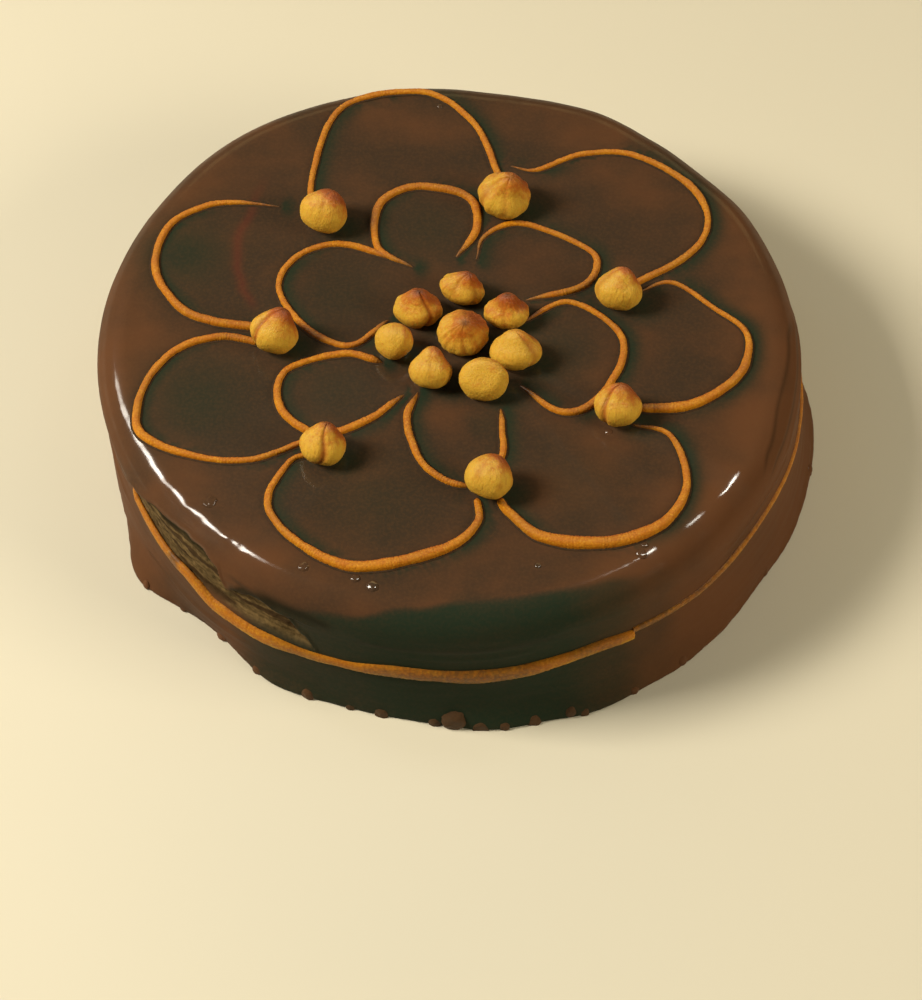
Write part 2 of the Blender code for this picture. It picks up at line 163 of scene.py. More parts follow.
TOP_DROPS = table(
    "x y width thick",
    (-43.0, -84.4, 3.4, 0.18), (-29.0, -88.0, 2.9, 0.20), (-24.0, -90.5, 3.8, 0.20), (-70.0, -63.0, 4.0, 0.10),
    (21.0, -83.0, 1.8, 0.18), (50.3, -75.6, 2.0, 0.22), (49.4, -78.6, 3.0, 0.20), (-8.6, 88.0, 1.8, 0.18),
    (41.0, -36.6, 2.4, 0.18),
)
DROP_SINK = 0.25  # of its thickness, how deep a drop's middle lies in the glaze
FOOT_LEVEL = 20  # millimetres up, below which a drop is a lump of the foot, sunk deeper and facing upwards a little
FOOT_SINK = 0.35 * MM
FOOT_LIFT = 0.25
FLOOR_GAP = 0.02 * MM
# Their looks: how thin and glossy their glaze is, the gloss less where they are flat, and how much painted shade they
# take
SIDE_DROP_THIN, TOP_DROP_THIN = 0.8, 0.4
SIDE_DROP_GLOSS, FLAT_GLOSS, FLAT_DROP = 0.2, 0.3, 0.15
DROP_SHADE = 0.35

# Where the rim's gloss is broken: azimuth, then its strength per mille
GLOSS_COURSE = (
    (183, 160), (193, 400), (203, 650), (208, 1000), (235, 1000), (238, 50), (297.5, 50), (299.3, 450), (301, 450),
    (301.8, 100), (302.4, 1000), (304, 1000), (305, 0), (311.5, 0), (313, 380), (315.2, 380), (316.4, 0), (320.5, 0),
    (322.2, 900), (325.8, 1000), (327, 0), (352, 0), (371, 200),
)
GLOSS_LEVEL = 43 * MM
PLAIN_GLOSS = 0.20  # round the rest of the rim
GLOSS_EASE = 2.5 * MM
SIDE_GLOSS = 0.02

# The front of the side, smoothed with the knife and made nearly black with painted shade: azimuth, how far up
# the skin the painted shade reaches in millimetres, and how dark it is per mille
FRONT_SHADE_COURSE = (
    (230, 38.0, 0), (241, 40.0, 600), (252, 43.8, 850), (262, 49.2, 1000), (270, 51.5, 1000), (284, 51.3, 1000),
    (294, 49.2, 640), (302, 46.0, 220), (309, 43.5, 40), (316, 42.0, 0),
)
FRONT_SHADE_EASE = 3 * MM

# Painted shadow of the icing on the glaze, on its right: how far from the line's middle, how wide, how dark
LINE_SHADOW = (1.2 * MM, 3.2 * MM, 1.0)

# A reddish streak of painted reflection in the glaze at the left: places from the front to the back, and its
# spread, in millimetres
RED_REFLECTION_STREAK = ((4, -60.4), (7, -61.7), (15, -65.3), (23, -67.2), (33, -67.5), (46, -63.7), (62, -59.5))
RED_REFLECTION_SPREAD = 1.5 * MM
RED_REFLECTION_FADE = (8, 22)  # millimetres over which it fades at the front and at the back

# How thin, and so how red, the glaze is: all over, more to the right (how far, spread, strength), and on the rim
# (each part's azimuth, spread, strength), which starts and grows over these distances from its least. To the right
# and on the rim this is also painted light and sheen, lighter and redder where light falls and the rim reflects
THIN_PLAIN = 0.18
THIN_AND_LIT_RIGHT = (45 * MM, 45 * MM, 0.16)
THIN_AND_LIT_RIM = ((180, 75, 0.45), (350, 62, 0.75))
THIN_AND_LIT_EDGE = (66 * MM, 40 * MM, 0.05)
FOLD_CREST_LIGHT = (0.6, 0.45, 0.2)  # and painted light on a fold's crest: strength, then rise and spread in millimetres

# The dark line under a fold: how far below its crest, how dark, the rise at which it is darkest, and from what height
FOLD_SHADE = (1.1 * MM, 0.5, 0.40 * MM, 34 * MM)
FOLD_ENDS = 4  # degrees over which a fold fades at its ends

# The painted shadow that a kernel casts, over its width: how far to the right and to the front, how wide, and how dark
NUT_SHADOW = (0.46, 0.10, 0.40, 0.9)

# Pools of painted shade and dark reflection in the glaze on top: place and spread in millimetres, and how dark
SHADE_POOLS = table(
    "x y spread dark",
    (-84, 27, 13, 0.75), (-76, -27, 15, 0.60), (-12, 38, 12, 0.30), (-37, -24, 12, 0.30), (-37, 13, 12, 0.30),
    (-25, -62, 16, 0.22), (33, -54, 14, 0.15), (25, -8, 11, 0.35),
)

# Each petal's line on the cake's top, in millimetres: how long its thin tails are, then its points, each with the
# line's width there
PETALS = table(
    "tails points",
    ((0, 0), ((-46, 44, 1.8), (-46.5, 58, 1.8), (-42, 80.5, 1.9), (-32.5, 90.5, 2), (-12, 93, 2.05), (2, 80.5, 1.95),
        (8.5, 63, 2.05), (11, 52, 2))),
    ((9, 0), ((13, 63.5, 1.1), (21, 62, 1.5), (34.5, 68.5, 1.9), (50.5, 68.5, 1.95), (67, 56.5, 2.3), (72, 42, 1.8),
        (65.5, 29, 2.2), (48, 16.5, 2.2))),
    ((12, 3), ((49.5, 14, 1.1), (60.5, 18.5, 1.4), (72.5, 9, 1.6), (81.5, 0, 1.8), (80.5, -12.5, 2.5), (74, -21, 2.8),
        (63, -27.5, 3.2), (48.5, -28.5, 2.8))),
    ((8, 0), ((47.5, -34, 1.3), (58.5, -38, 1.7), (62.5, -54.5, 2.1), (55.5, -68.5, 3.1), (40.5, -75, 3.9),
        (23, -74, 3.4), (13, -65.5, 2.7), (9.5, -59.5, 2.4))),
    ((0, 0), ((4, -60, 2), (4, -69.5, 2.3), (-5.5, -78.5, 3.2), (-28.5, -84.5, 3.3), (-45, -76.5, 2.4),
        (-54, -63.5, 2.1), (-49, -49.5, 1.7), (-43, -46, 1.7))),
    ((0, 0), ((-44, -41.5, 1.8), (-59.5, -48.5, 1.9), (-75.5, -47.5, 2.1), (-91, -39.5, 2.6), (-91.5, -24, 2),
        (-83.5, -10, 2.3), (-70.5, -4.5, 2.4), (-57, -7, 2.3))),
    ((0, 14), ((-57.5, -1, 2.6), (-72, 1, 2.8), (-82.5, 6, 2.6), (-91, 20.5, 2.4), (-88.5, 37, 2.1), (-78, 45.5, 2),
        (-67, 47.2, 1.6), (-55.6, 46, 1))),
    ((10, 7), ((-15.5, 23, 1.9), (-26, 30.5, 2.1), (-26, 47, 2.4), (-15, 54.5, 2.6), (0.5, 50.5, 2.6), (3, 38, 2.4),
        (-3, 27, 1.6))),
    ((16, 8), ((3, 26, 1), (5.5, 35.5, 1.6), (15.5, 40.5, 1.9), (29.5, 35, 1.8), (38.5, 27.5, 1.9), (34.5, 16.5, 2.2),
        (17.5, 11, 1.6))),
    ((8, 9), ((16.5, 2.5, 1.6), (30, 10.5, 1.7), (43.5, 1, 2), (45.5, -10.5, 2.1), (37.5, -26, 2.4), (27.5, -30, 2.1),
        (16, -20.5, 1.7))),
    ((6, 5), ((-13, -23.5, 1.8), (-16, -34, 2.1), (-10.5, -50, 2.1), (2, -56.5, 1.9), (10.5, -47, 1.9),
        (11, -37, 1.7), (10.5, -29, 1.5))),
    ((3, 6), ((-23.5, -13, 2.3), (-35, -10, 2.2), (-51, -16.5, 2), (-52, -30, 2.4), (-41, -39, 2.4),
        (-28, -34.5, 2.3), (-17, -24.5, 1.9))),
    ((7, 7), ((-21, 26, 2.2), (-37.5, 31.5, 2.1), (-50, 26, 1.8), (-54.5, 14, 1.8), (-46, -0.5, 2.2), (-33, -7, 1.8),
        (-22, 3, 1.9))),
)
ROUTE_PIECES = 14  # between two of a petal's points
BEAD_RISE = 1.14  # height over half width
BEAD_TIP = 0.7  # of its width, the length over which an end rounds off
BEAD_THINNEST = 0.3
TAIL_THINNEST = 0.2
UNDER_NUT = 0.3  # of a kernel's width, how near to its middle the icing reaches
TAIL_CURVE = 0.7
PETAL_UNEVEN = 0.12  # of its width
PETAL_SWAY = 0.16 * MM
PETAL_FILM = 0.16
# The low collar of glaze along the icing, as inputs of the bead's tree
COLLAR = {
    "Up": 0.16, "Margin": 0.55 * MM, "Rib Depth": 0.0, "Step": 0.0008, "Squareness": 1.0, "Unevenness": 0.00006,
}

# The ring of icing round the side
RING_PROUD = 1.3 * MM
RING_POINTS = 900
RING_BEAD = {"Across": 2 * RING_PROUD / (4.4 * MM), "Up": 1.0, "Rib Depth": 0.03, "Step": 0.0005}
RING_UNEVEN = 0.10  # of its width
RING_SWAY = 0.2 * MM
RING_SHRINK = 0.8  # of its width, where it is hidden
# Its azimuth in degrees, then its level and its width in millimetres
RING_COURSE = (
    (300, 26.0, 2.4), (312, 25.2, 2.6), (331, 28.0, 2.6), (348, 25.0, 2.7), (372, 22.5, 3.2), (480, 22.0, 3.4),
    (548, 24.3, 2.0), (562, 24.6, 2.3), (577, 24.8, 3.1), (584, 25.2, 4.0), (591, 21.8, 4.9), (600, 21.0, 4.8),
    (607, 21.4, 3.6), (613, 21.9, 3.4), (623, 23.3, 4.8), (636, 22.5, 5.6), (655, 25.2, 4.4), (660, 24.4, 4.2),
)
RING_HIDDEN = ((541, 0), (545, 850), (562, 850), (567, 0))  # per mille, where glaze has run over the ring
# Where a film of glaze dulls the ring, along its front and right together with painted shade: azimuth, then how much of
# it
RING_FILM_AND_SHADE = (
    (300, 950), (312, 800), (325, 500), (340, 300), (420, 250), (560, 350), (575, 250), (578.5, 300), (580, 1000),
    (581.5, 1000), (583, 250), (598, 200), (606, 550), (614, 350), (622, 700), (632, 850), (640, 800), (647, 350),
    (652, 700), (657, 600), (660, 200),
)

# The kernels' nodes, from the back left round clockwise and then in the middle
NUTS = [f"hazelnut_{place}_{i + 1}" for place, count in (("petal", 7), ("centre", 8)) for i in range(count)]
# The kernels: where the tip points in degrees, its length over its width before it settles, how far the tip is
# drawn out, rib depth and count, creases as (azimuth, depth, spread, reach) and lobes as (azimuth, from the tip,
# spread, out), how toasted it is round the tip and overall, and how dark the spot at the tip is
KERNEL_FORMS = (
    (50, 55, 0.96, 0.06, 0.006, 7, ((250, 0.03, 10, 120),), (), 0.55, 0.1),
    (330, 78, 0.90, 0.18, 0.020, 9, ((200, 0.07, 12, 140), (262, 0.05, 9, 120)),
     ((180, 95, 26, 0.03), (300, 100, 24, 0.04)), 0.45, 0.35),
    (60, 66, 0.92, 0.14, 0.018, 6, ((190, 0.06, 16, 120),), ((215, 95, 22, 0.05),), 0.35, 0.2),
    (85, 72, 0.90, 0.14, 0.012, 6, ((222, 0.13, 11, 160),), ((245, 100, 24, 0.03),), 0.45, 0.25),
    (60, 50, 0.96, 0.06, 0.008, 8, ((228, 0.04, 10, 110),), (), 0.3, 0.1),
    (60, 70, 0.94, 0.15, 0.010, 6, ((264, 0.12, 9, 150),), ((235, 105, 26, 0.04), (292, 105, 28, 0.05)), 0.4, 0.6),
    (40, 62, 0.94, 0.16, 0.010, 6, ((205, 0.13, 10, 150),), ((185, 95, 24, 0.03),), 0.5, 0.6),
    (283, 72, 0.80, 0.16, 0.016, 13, ((265, 0.06, 7, 110), (300, 0.04, 8, 110)), (), 0.6, 0.7),
    (22, 70, 0.74, 0.18, 0.020, 8, ((235, 0.05, 9, 110), (300, 0.06, 10, 120)), ((195, 90, 24, 0.06),), 0.55, 0.6),
    (90, 82, 0.80, 0.24, 0.014, 12, ((255, 0.04, 8, 130),), (), 0.75, 0.8),
    (100, 76, 0.78, 0.16, 0.008, 5, ((318, 0.07, 12, 150),), ((345, 95, 24, 0.05),), 0.12, 0.1),
    (90, -56, 0.84, 0.10, 0.010, 6, (), (), 0.2, 0.0),
    (78, 60, 0.94, 0.20, 0.008, 5, ((262, 0.03, 10, 120),), (), 0.3, 0.15),
    (268, -6, 0.98, 0.06, 0.008, 6, ((200, 0.05, 12, 60),), (), 0.12, 0.1),
    (60, 84, 0.80, 0.18, 0.018, 7, ((300, 0.13, 9, 160),), ((265, 100, 26, 0.03),), 0.65, 0.9),
)
KERNELS = table(
    "node tip_azimuth tip_lift length point rib ribs creases lobes toast spot",
    *((node, *row) for node, row in zip(NUTS, KERNEL_FORMS))
)
# Each kernel's middle on the glaze and its width both ways, from its node's box
FOOTPRINTS = table("x y width depth", *(
    ((low.x + high.x) / 2, (low.y + high.y) / 2, high.x - low.x, high.y - low.y) for low, high in map(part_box, NUTS)
))
KERNEL_BASE = 0.82
KERNEL_SETTLE = 0.08
KERNEL_SINK = 0.6 * MM
KERNEL_RINGS = 70
KERNEL_SPOKES = 96
TIP_SPREAD = 26
SHOULDER_DIP = 0.7
SHOULDER_FROM_TIP = 50
RIB_CROOK = 14
CREASE_BEND = 8
CREASE_END = 25
BASE_SHARPNESS = 14
SPOT_SPREAD = 9
KERNEL_SHADED_SIDE = (0.66, 0.62, 0.42)  # the side away from the light, browned as painted shade

# How the glaze's skin is divided: its steps up the side, its turns in degrees, fine along one stretch, and the
# spacing of its top, with rings round each kernel at these shares of its width
GLAZE_STEP = 0.5 * MM
FINE_TURN = 0.28
COARSE_TURN = 0.8
FINE_STRETCH = (197, 251)
RIM_ROWS = 28
FOOT_ROUND = 0.8 * MM
TOP_SPACING = 1.15 * MM
TOP_REACH = 110 * MM
EDGE_GAP = 0.7
RING_TURN = 6
RING_SHARES = (0.6, 0.68, 0.76, 0.84, 0.92)
RINGS_BETWEEN = (0.5, 1.0)
LINE_BATCHES = 40

# Colours of the finishes
GLAZE = (0.0405, 0.0262, 0.0170)
THIN_AND_LIT_GLAZE = (0.110, 0.0450, 0.0200)
PAINTED_SHADE_GLAZE = (0.0165, 0.0262, 0.0160)
RED_REFLECTION_GLAZE = (0.112, 0.0240, 0.0150)
GLAZE_SPECKS = (0.110, 0.052, 0.022)
GLAZE_SHADE = (0.013, 0.012, 0.0065)
DARK_CAKE = (0.062, 0.041, 0.018)
LIGHT_CAKE = (0.155, 0.100, 0.043)
CAKE_HOLES = (0.026, 0.019, 0.009)
CAKE_SMEARS = (0.036, 0.0200, 0.0100)
ICING = (0.46, 0.195, 0.0070)
PALE_ICING = (0.61, 0.308, 0.0090)
ICING_SHADED_FLANK = (0.42, 0.095, 0.0060)
ICING_SHADED_BACK = (0.30, 0.050, 0.0060)
ICING_GROOVE_SHADE = (0.36, 0.100, 0.0070)
ICING_SPECKS = (0.34, 0.105, 0.0080)
ICING_GLINTS = (0.74, 0.44, 0.045)
ICING_FILM_AND_SHADE = (0.085, 0.040, 0.0145)
KERNEL = (0.61, 0.345, 0.038)
TOASTED_AND_SHADED_KERNEL = (0.46, 0.122, 0.011)
DARK_TOASTED_AND_SHADED = (0.26, 0.052, 0.007)
KERNEL_FURROWS = (0.40, 0.165, 0.024)
KERNEL_SPECKS = (0.36, 0.130, 0.019)
KERNEL_GLINTS = (0.72, 0.46, 0.10)
KERNEL_CREASES = (0.33, 0.075, 0.012)
KERNEL_TIP = (0.085, 0.028, 0.010)
FLOOR = (0.66, 0.61, 0.50)
PALE_FLOOR = (0.69, 0.64, 0.53)

# Soft boxes round the cake: where they stand, their size in metres, their power in watts and their tint
SOFT_BOXES = table(
    "name azimuth lift distance width height power tint",
    ("key_light", 186, 42, 1.25, 0.40, 0.40, 20.5, (1.0, 0.93, 0.76)),
    ("right_light", 338, 28, 1.40, 0.70, 0.50, 11.5, (1.0, 0.89, 0.66)),
    ("back_light", 85, 24, 1.5, 1.6, 0.4, 4.0, (1.0, 0.70, 0.28)),
    ("left_strip", 151, 50, 1.25, 0.19, 0.90, 17.0, (1.0, 0.94, 0.82)),
    ("right_strip", 36, 61, 1.25, 0.12, 0.50, 8.0, (1.0, 0.97, 0.86)),
)
FOR_SHINE = ("left_strip", "right_strip")  # these show in the glaze and light nothing
FOR_SHAPE = ("key_light", "right_light")  # these light the cake and don't show in its glaze
AIM = Vector((0, 0, 0.03))
STUDIO_TINT = (0.86, 0.95, 0.68)
STUDIO_STRENGTH = 0.08
FLOOR_HALF = 4.0

# The camera looks down at the cake's front, as the photograph does
CAMERA_PLACE = (0, -0.549868, 0.721805)
CAMERA_RIGHT = (0.999902358, 0.0115637152, 0.00784567918)
CAMERA_UP = (-0.0139673512, 0.809647752, 0.586749888)
CAMERA_BACK = (0.000432772114, -0.586802180, 0.809730211)
CAMERA_LENS = 108


def bell(distance, spread):
    return np.exp(-((distance / spread) ** 2))


def turned_from(azimuth, other):
    return (azimuth - other + 180) % 360 - 180


def eased(share):
    share = np.clip(share, 0, 1)
    return share * share * (3 - 2 * share)


def on_course(place, course, column=1):
    """A column of a course, eased from row to row, in metres, and 0 beyond its ends."""
    place = np.asarray(place, float)
    starts = np.array([row[0] for row in course], float)
    values = np.array([row[column] for row in course], float) * MM
    row = np.clip(np.searchsorted(starts, place, side="right") - 1, 0, len(course) - 2)
    share = eased((place - starts[row]) / (starts[row + 1] - starts[row]))
    inside = (place >= starts[0]) & (place <= starts[-1])
    return np.where(inside, values[row] + (values[row + 1] - values[row]) * share, 0)


def from_ends(place, course):
    return np.minimum(place - course[0][0], course[-1][0] - place)


def ripple(places, length, seed=0.0):
    """Smooth noise from -1 to 1 at each place, with waves of about this length."""
    return np.array([noise.noise(place) for place in (places / length + seed).tolist()])


def compass(azimuth):
    return np.stack([np.cos(np.radians(azimuth)), np.sin(np.radians(azimuth))], -1)


def azimuth_of(points):
    return np.degrees(np.arctan2(points[:, 1], points[:, 0])) % 360


def middle_at(z):
    share = (1 - np.exp(-z / LEAN_HEIGHT)) / (1 - np.exp(-HEIGHT / LEAN_HEIGHT))
    return np.stack([LEAN[0] * share, LEAN[1] * (z / HEIGHT) ** 2], -1)


def outline_radius(azimuth, z):
    """The glaze's distance from its middle at this height, without the bare patch."""
    rise = np.clip(z - RIM_START, 0, RIM_RADIUS)
    radius = SHOULDER_RADIUS + FLARE * np.exp(-z / FLARE_HEIGHT) - RIM_RADIUS + np.sqrt(RIM_RADIUS**2 - rise**2)
    for swell in SWELLS:
        turned = bell(turned_from(azimuth, swell.azimuth), swell.spread)
        radius = radius + swell.out * MM * turned * bell(z - swell.level * MM, swell.level_spread * MM)
    return radius


def at_radius(azimuth, z, radius):
    return np.column_stack([middle_at(z) + compass(azimuth) * radius[:, None], z])


def skin_place(azimuth, z):
    """A place on the glaze's side or rim, without its relief."""
    azimuth, z = np.array([float(azimuth)]), np.array([float(z)])
    return at_radius(azimuth, z, outline_radius(azimuth, z))[0]


def round_side(azimuth, z=0.0):
    """Places on a plain cylinder, for noise that goes round the side without a seam."""
    return np.column_stack([compass(azimuth) * SHOULDER_RADIUS, np.broadcast_to(z, len(azimuth))])


def lip_level(azimuth):
    lip, side = on_course(azimuth, PATCH_LIP), round_side(azimuth)
    return np.where(lip > 0, lip + LIP_WOBBLE * ripple(side, 4 * MM) + LIP_WOBBLE * ripple(side, 11 * MM), 0)


def bare_share(azimuth, z):
    """1 where the cake is bare, 0 where glaze covers it."""
    return eased((lip_level(azimuth) - z) / LIP_EDGE) * eased((z - PATCH_FOOT) / PATCH_EDGE)


def up_the_skin(z):
    """How far a height lies up the side and over the rim."""
    turn = np.arcsin(np.clip((z - RIM_START) / RIM_RADIUS, 0, 1))
    return np.minimum(z, RIM_START) + RIM_RADIUS * turn


def fold_rise(azimuth, up):
    rise = np.zeros_like(up)
    for fold in FOLDS:
        for turn in (azimuth, azimuth + 360):
            course = on_course(turn, fold.course)
            ends = eased(from_ends(turn, fold.course) / FOLD_ENDS)
            rise += fold.rise * MM * bell(up - course, fold.width * MM) * (course > 0) * ends
    return rise


def mound_rise(places):
    rise = np.zeros(len(places))
    for mound in MOUNDS:
        away = np.sqrt(((places - skin_place(mound.azimuth, mound.level * MM)) ** 2).sum(1))
        rise += mound.rise * MM * bell(away, mound.spread * MM)
    return rise


def side_relief(azimuth, z, places):
    """The glaze's fine relief on the side and rim: slow waves, strokes of the knife, ripples of the rim."""
    around = round_side(azimuth, z)
    relief = SLOW_WAVE[0] * ripple(places, SLOW_WAVE[1])
    rise, length, closer, seed, fade = KNIFE_STROKES
    relief += rise * ripple(around * (1, 1, closer), length, seed) * eased((RIM_START - z) / fade + 1)
    for wave in SIDE_WAVES:
        waves = ripple(around * (1, 1, wave.closer), wave.length * MM, wave.seed)
        relief += wave.rise * MM * waves * bell(z - wave.level * MM, wave.spread * MM)
    relief += fold_rise(azimuth, up_the_skin(z))
    relief += LIP_SWELL * bell(z - lip_level(azimuth) - LIP_ROUND, LIP_ROUND) * (on_course(azimuth, PATCH_LIP) > 0)
    crumb = 0.5 * ripple(places, 2.4 * MM, 5.5) + 0.35 * ripple(places, 1.1 * MM, 9.1)
    smear = 0.5 * ripple(around * (1, 1, 5), 9 * MM, 2.2)
    return relief + bare_share(azimuth, z) * (-PATCH_DEPTH + CRUMB_RISE * (crumb + smear))


def top_relief(x, y):
    """The glaze's height over the flat top: slow waves, and the glaze drawn up round each kernel."""
    flat = np.column_stack([x, y, np.zeros_like(x)])
    relief = 0.13 * MM * ripple(flat, 19 * MM, 1.3) + 0.05 * MM * ripple(flat, 7 * MM, 8.2)
    rise, reach, ease = DRAWN_UP
    for nut in FOOTPRINTS:
        relief += rise * eased((reach - np.hypot((x - nut.x) / nut.width, (y - nut.y) / nut.depth)) / ease)
    return relief


def plain_mesh(name, points, faces=(), edges=()):
    mesh = bpy.data.meshes.new(name)
    mesh.from_pydata([tuple(point) for point in points], edges, faces)
    mesh.update()
    return mesh


def store(mesh, **layers):
    """Keeps a value or a vector for each point, for a finish or a shape's tree to read."""
    for name, values in layers.items():
        values = np.asarray(values, np.float32)
        kind, key = ("FLOAT_VECTOR", "vector") if values.ndim == 2 else ("FLOAT", "value")
        mesh.attributes.new(name, kind, "POINT").data.foreach_set(key, values.ravel())


def placed(name, data):
    thing = bpy.data.objects.new(name, data)
    bpy.context.scene.collection.objects.link(thing)
    return thing


def finished(name, mesh, finish, nodes):
    """A piece that stands for nodes and takes its finish from a slot."""
    piece = placed(name, mesh)
    if not mesh.materials:
        mesh.materials.append(finish)
    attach(piece, BODY)
    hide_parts(*nodes)
    return piece


def glaze_columns():
    start, end = FINE_STRETCH
    return np.concatenate([np.arange(start, end, FINE_TURN), np.arange(end, start + 360, COARSE_TURN)])


def glaze_rows():
    """Each row's height, and how far its skin is turned from the side's towards the top's."""
    side = [(z, 0.0) for z in np.arange(0, RIM_START - GLAZE_STEP / 2, GLAZE_STEP)]
    rim = [math.pi / 2 * step / RIM_ROWS for step in range(RIM_ROWS + 1)]
    return side + [(RIM_START + RIM_RADIUS * math.sin(turn), turn) for turn in rim]


def kernel_rings():
    """Points close together round each kernel, where the glaze is drawn up to it."""
    turns = compass(np.arange(0, 360, RING_TURN))
    return np.concatenate([
        turns * (nut.width / 2 * share, nut.depth / 2 * share) + (nut.x, nut.y)
        for nut in FOOTPRINTS for share in RING_SHARES
    ])


def top_points(edge):
    """Points spread evenly over the top inside its edge, with rings of them round the kernels."""
    middle = edge.mean(0)
    starts = np.arange(-TOP_REACH, TOP_REACH, TOP_SPACING)
    rows = enumerate(np.arange(-TOP_REACH, TOP_REACH, TOP_SPACING * math.sqrt(3) / 2))
    grid = [np.column_stack([starts + (i % 2) * TOP_SPACING / 2, np.full(len(starts), y)]) for i, y in rows]
    grid = np.concatenate(grid) + middle
    for nut in FOOTPRINTS:
        away = np.hypot(*((grid - (nut.x, nut.y)) / (nut.width / 2, nut.depth / 2)).T)
        grid = grid[(away < RINGS_BETWEEN[0]) | (away > RINGS_BETWEEN[1])]
    spokes, edge_spokes = grid - middle, edge - middle
    edge_azimuth = azimuth_of(edge_spokes)
    order = np.argsort(edge_azimuth)
    reach = np.interp(azimuth_of(spokes), edge_azimuth[order], np.hypot(*edge_spokes.T)[order], period=360)
    return np.concatenate([grid[np.hypot(*spokes.T) < reach - EDGE_GAP * TOP_SPACING], kernel_rings()])


def thin_and_lit_share(points):
    """How thin and reddish the glaze is, partly painted light: more to the right, most on the rim's left and right."""
    place, spread, strength = THIN_AND_LIT_RIGHT
    thin = THIN_PLAIN + strength * bell(points[:, 0] - place, spread)
    start, width, rim = THIN_AND_LIT_EDGE
    for azimuth, spread, strength in THIN_AND_LIT_RIM:
        rim = rim + strength * bell(turned_from(azimuth_of(points), azimuth), spread)
    return thin + rim * eased((np.hypot(points[:, 0], points[:, 1]) - start) / width)


def red_reflection_share(points):
    """1 along the reddish streak of painted reflection on top, fading off at its ends."""
    along = points[:, 1] / MM
    streak = bell(points[:, 0] - on_course(along, RED_REFLECTION_STREAK), RED_REFLECTION_SPREAD) * (points[:, 2] > RIM_START)
    front, back = RED_REFLECTION_FADE
    return streak * eased((along - RED_REFLECTION_STREAK[0][0]) / front) * eased((RED_REFLECTION_STREAK[-1][0] - along) / back)


def line_shadow_share(points):
    """1 just right of the petals' lines, where their painted shadow lies, falling to 0 away from them and to their
    left.
    """
    lines = np.concatenate([smooth_route(petal.points)[:, :2] for petal in PETALS])
    offset, spread, _ = LINE_SHADOW
    near = np.zeros(len(points))
    for part in np.array_split(np.flatnonzero(points[:, 2] > RIM_START), LINE_BATCHES):
        apart = points[part][:, None, :2] - lines[None]
        away = np.hypot(apart[..., 0], apart[..., 1])
        nearest = away.argmin(1)
        pick = np.arange(len(part))
        away, to_right = away[pick, nearest], apart[pick, nearest, 0] / np.maximum(away[pick, nearest], MM)
        near[part] = bell(np.maximum(away - offset, 0), spread) * eased(to_right * 1.2)
    return near


def painted_shade_share(points):
    """Painted shade on the glaze: pools of shade and dark reflection on top, kernels' and lines' shadows, the dark
    front.
    """
    azimuth, z = azimuth_of(points), points[:, 2]
    below = (on_course(azimuth, FRONT_SHADE_COURSE) - up_the_skin(z)) / FRONT_SHADE_EASE
    dark = on_course(azimuth, FRONT_SHADE_COURSE, 2) * eased(below + 0.5)
    right, front, spread, deepest = NUT_SHADOW
    spots = [(pool.x * MM, pool.y * MM, pool.spread * MM, pool.dark) for pool in SHADE_POOLS]
    spots += [(nut.x + right * nut.width, nut.y - front * nut.width, spread * nut.width, deepest) for nut in FOOTPRINTS]
    for x, y, spread, depth in spots:
        away = np.hypot(points[:, 0] - x, points[:, 1] - y)
        dark = np.maximum(dark, depth * bell(away, spread) * (z > RIM_START))
    return np.maximum(dark, LINE_SHADOW[2] * line_shadow_share(points))


def gloss_share(points):
    """How glossy the coat is: full along the rim where its gloss shows, faint on the side."""
    azimuth = azimuth_of(points)
    azimuth = np.where(azimuth < GLOSS_COURSE[-1][0] - 360, azimuth + 360, azimuth)
    on_rim = np.where(azimuth >= GLOSS_COURSE[0][0], on_course(azimuth, GLOSS_COURSE), PLAIN_GLOSS)
    high = eased((points[:, 2] - GLOSS_LEVEL) / GLOSS_EASE)
    return on_rim * high + SIDE_GLOSS * (1 - high)


def shade_share(azimuth, z):
    """Painted shade: the dark lines under the lip, in the hollow at its right and under the folds."""
    offset, spread = LIP_SHADE
    under_lip = bell(lip_level(azimuth) - offset - z, spread) * (on_course(azimuth, PATCH_LIP) > 0)
    shade = under_lip * eased(bare_share(azimuth, z) * 4)
    hollow = on_course(azimuth, LIP_SHADOW_COURSE)
    in_lip_shadow = bell(z - hollow, LIP_SHADOW_SPREAD) * (hollow > 0) * eased(from_ends(azimuth, LIP_SHADOW_COURSE) / 2)
    offset, darkest, full_rise, lowest = FOLD_SHADE
    beneath = fold_rise(azimuth, up_the_skin(z) + offset)
    return np.max([shade, in_lip_shadow, darkest * np.clip(beneath / full_rise, 0, 1) * (z > lowest)], 0)


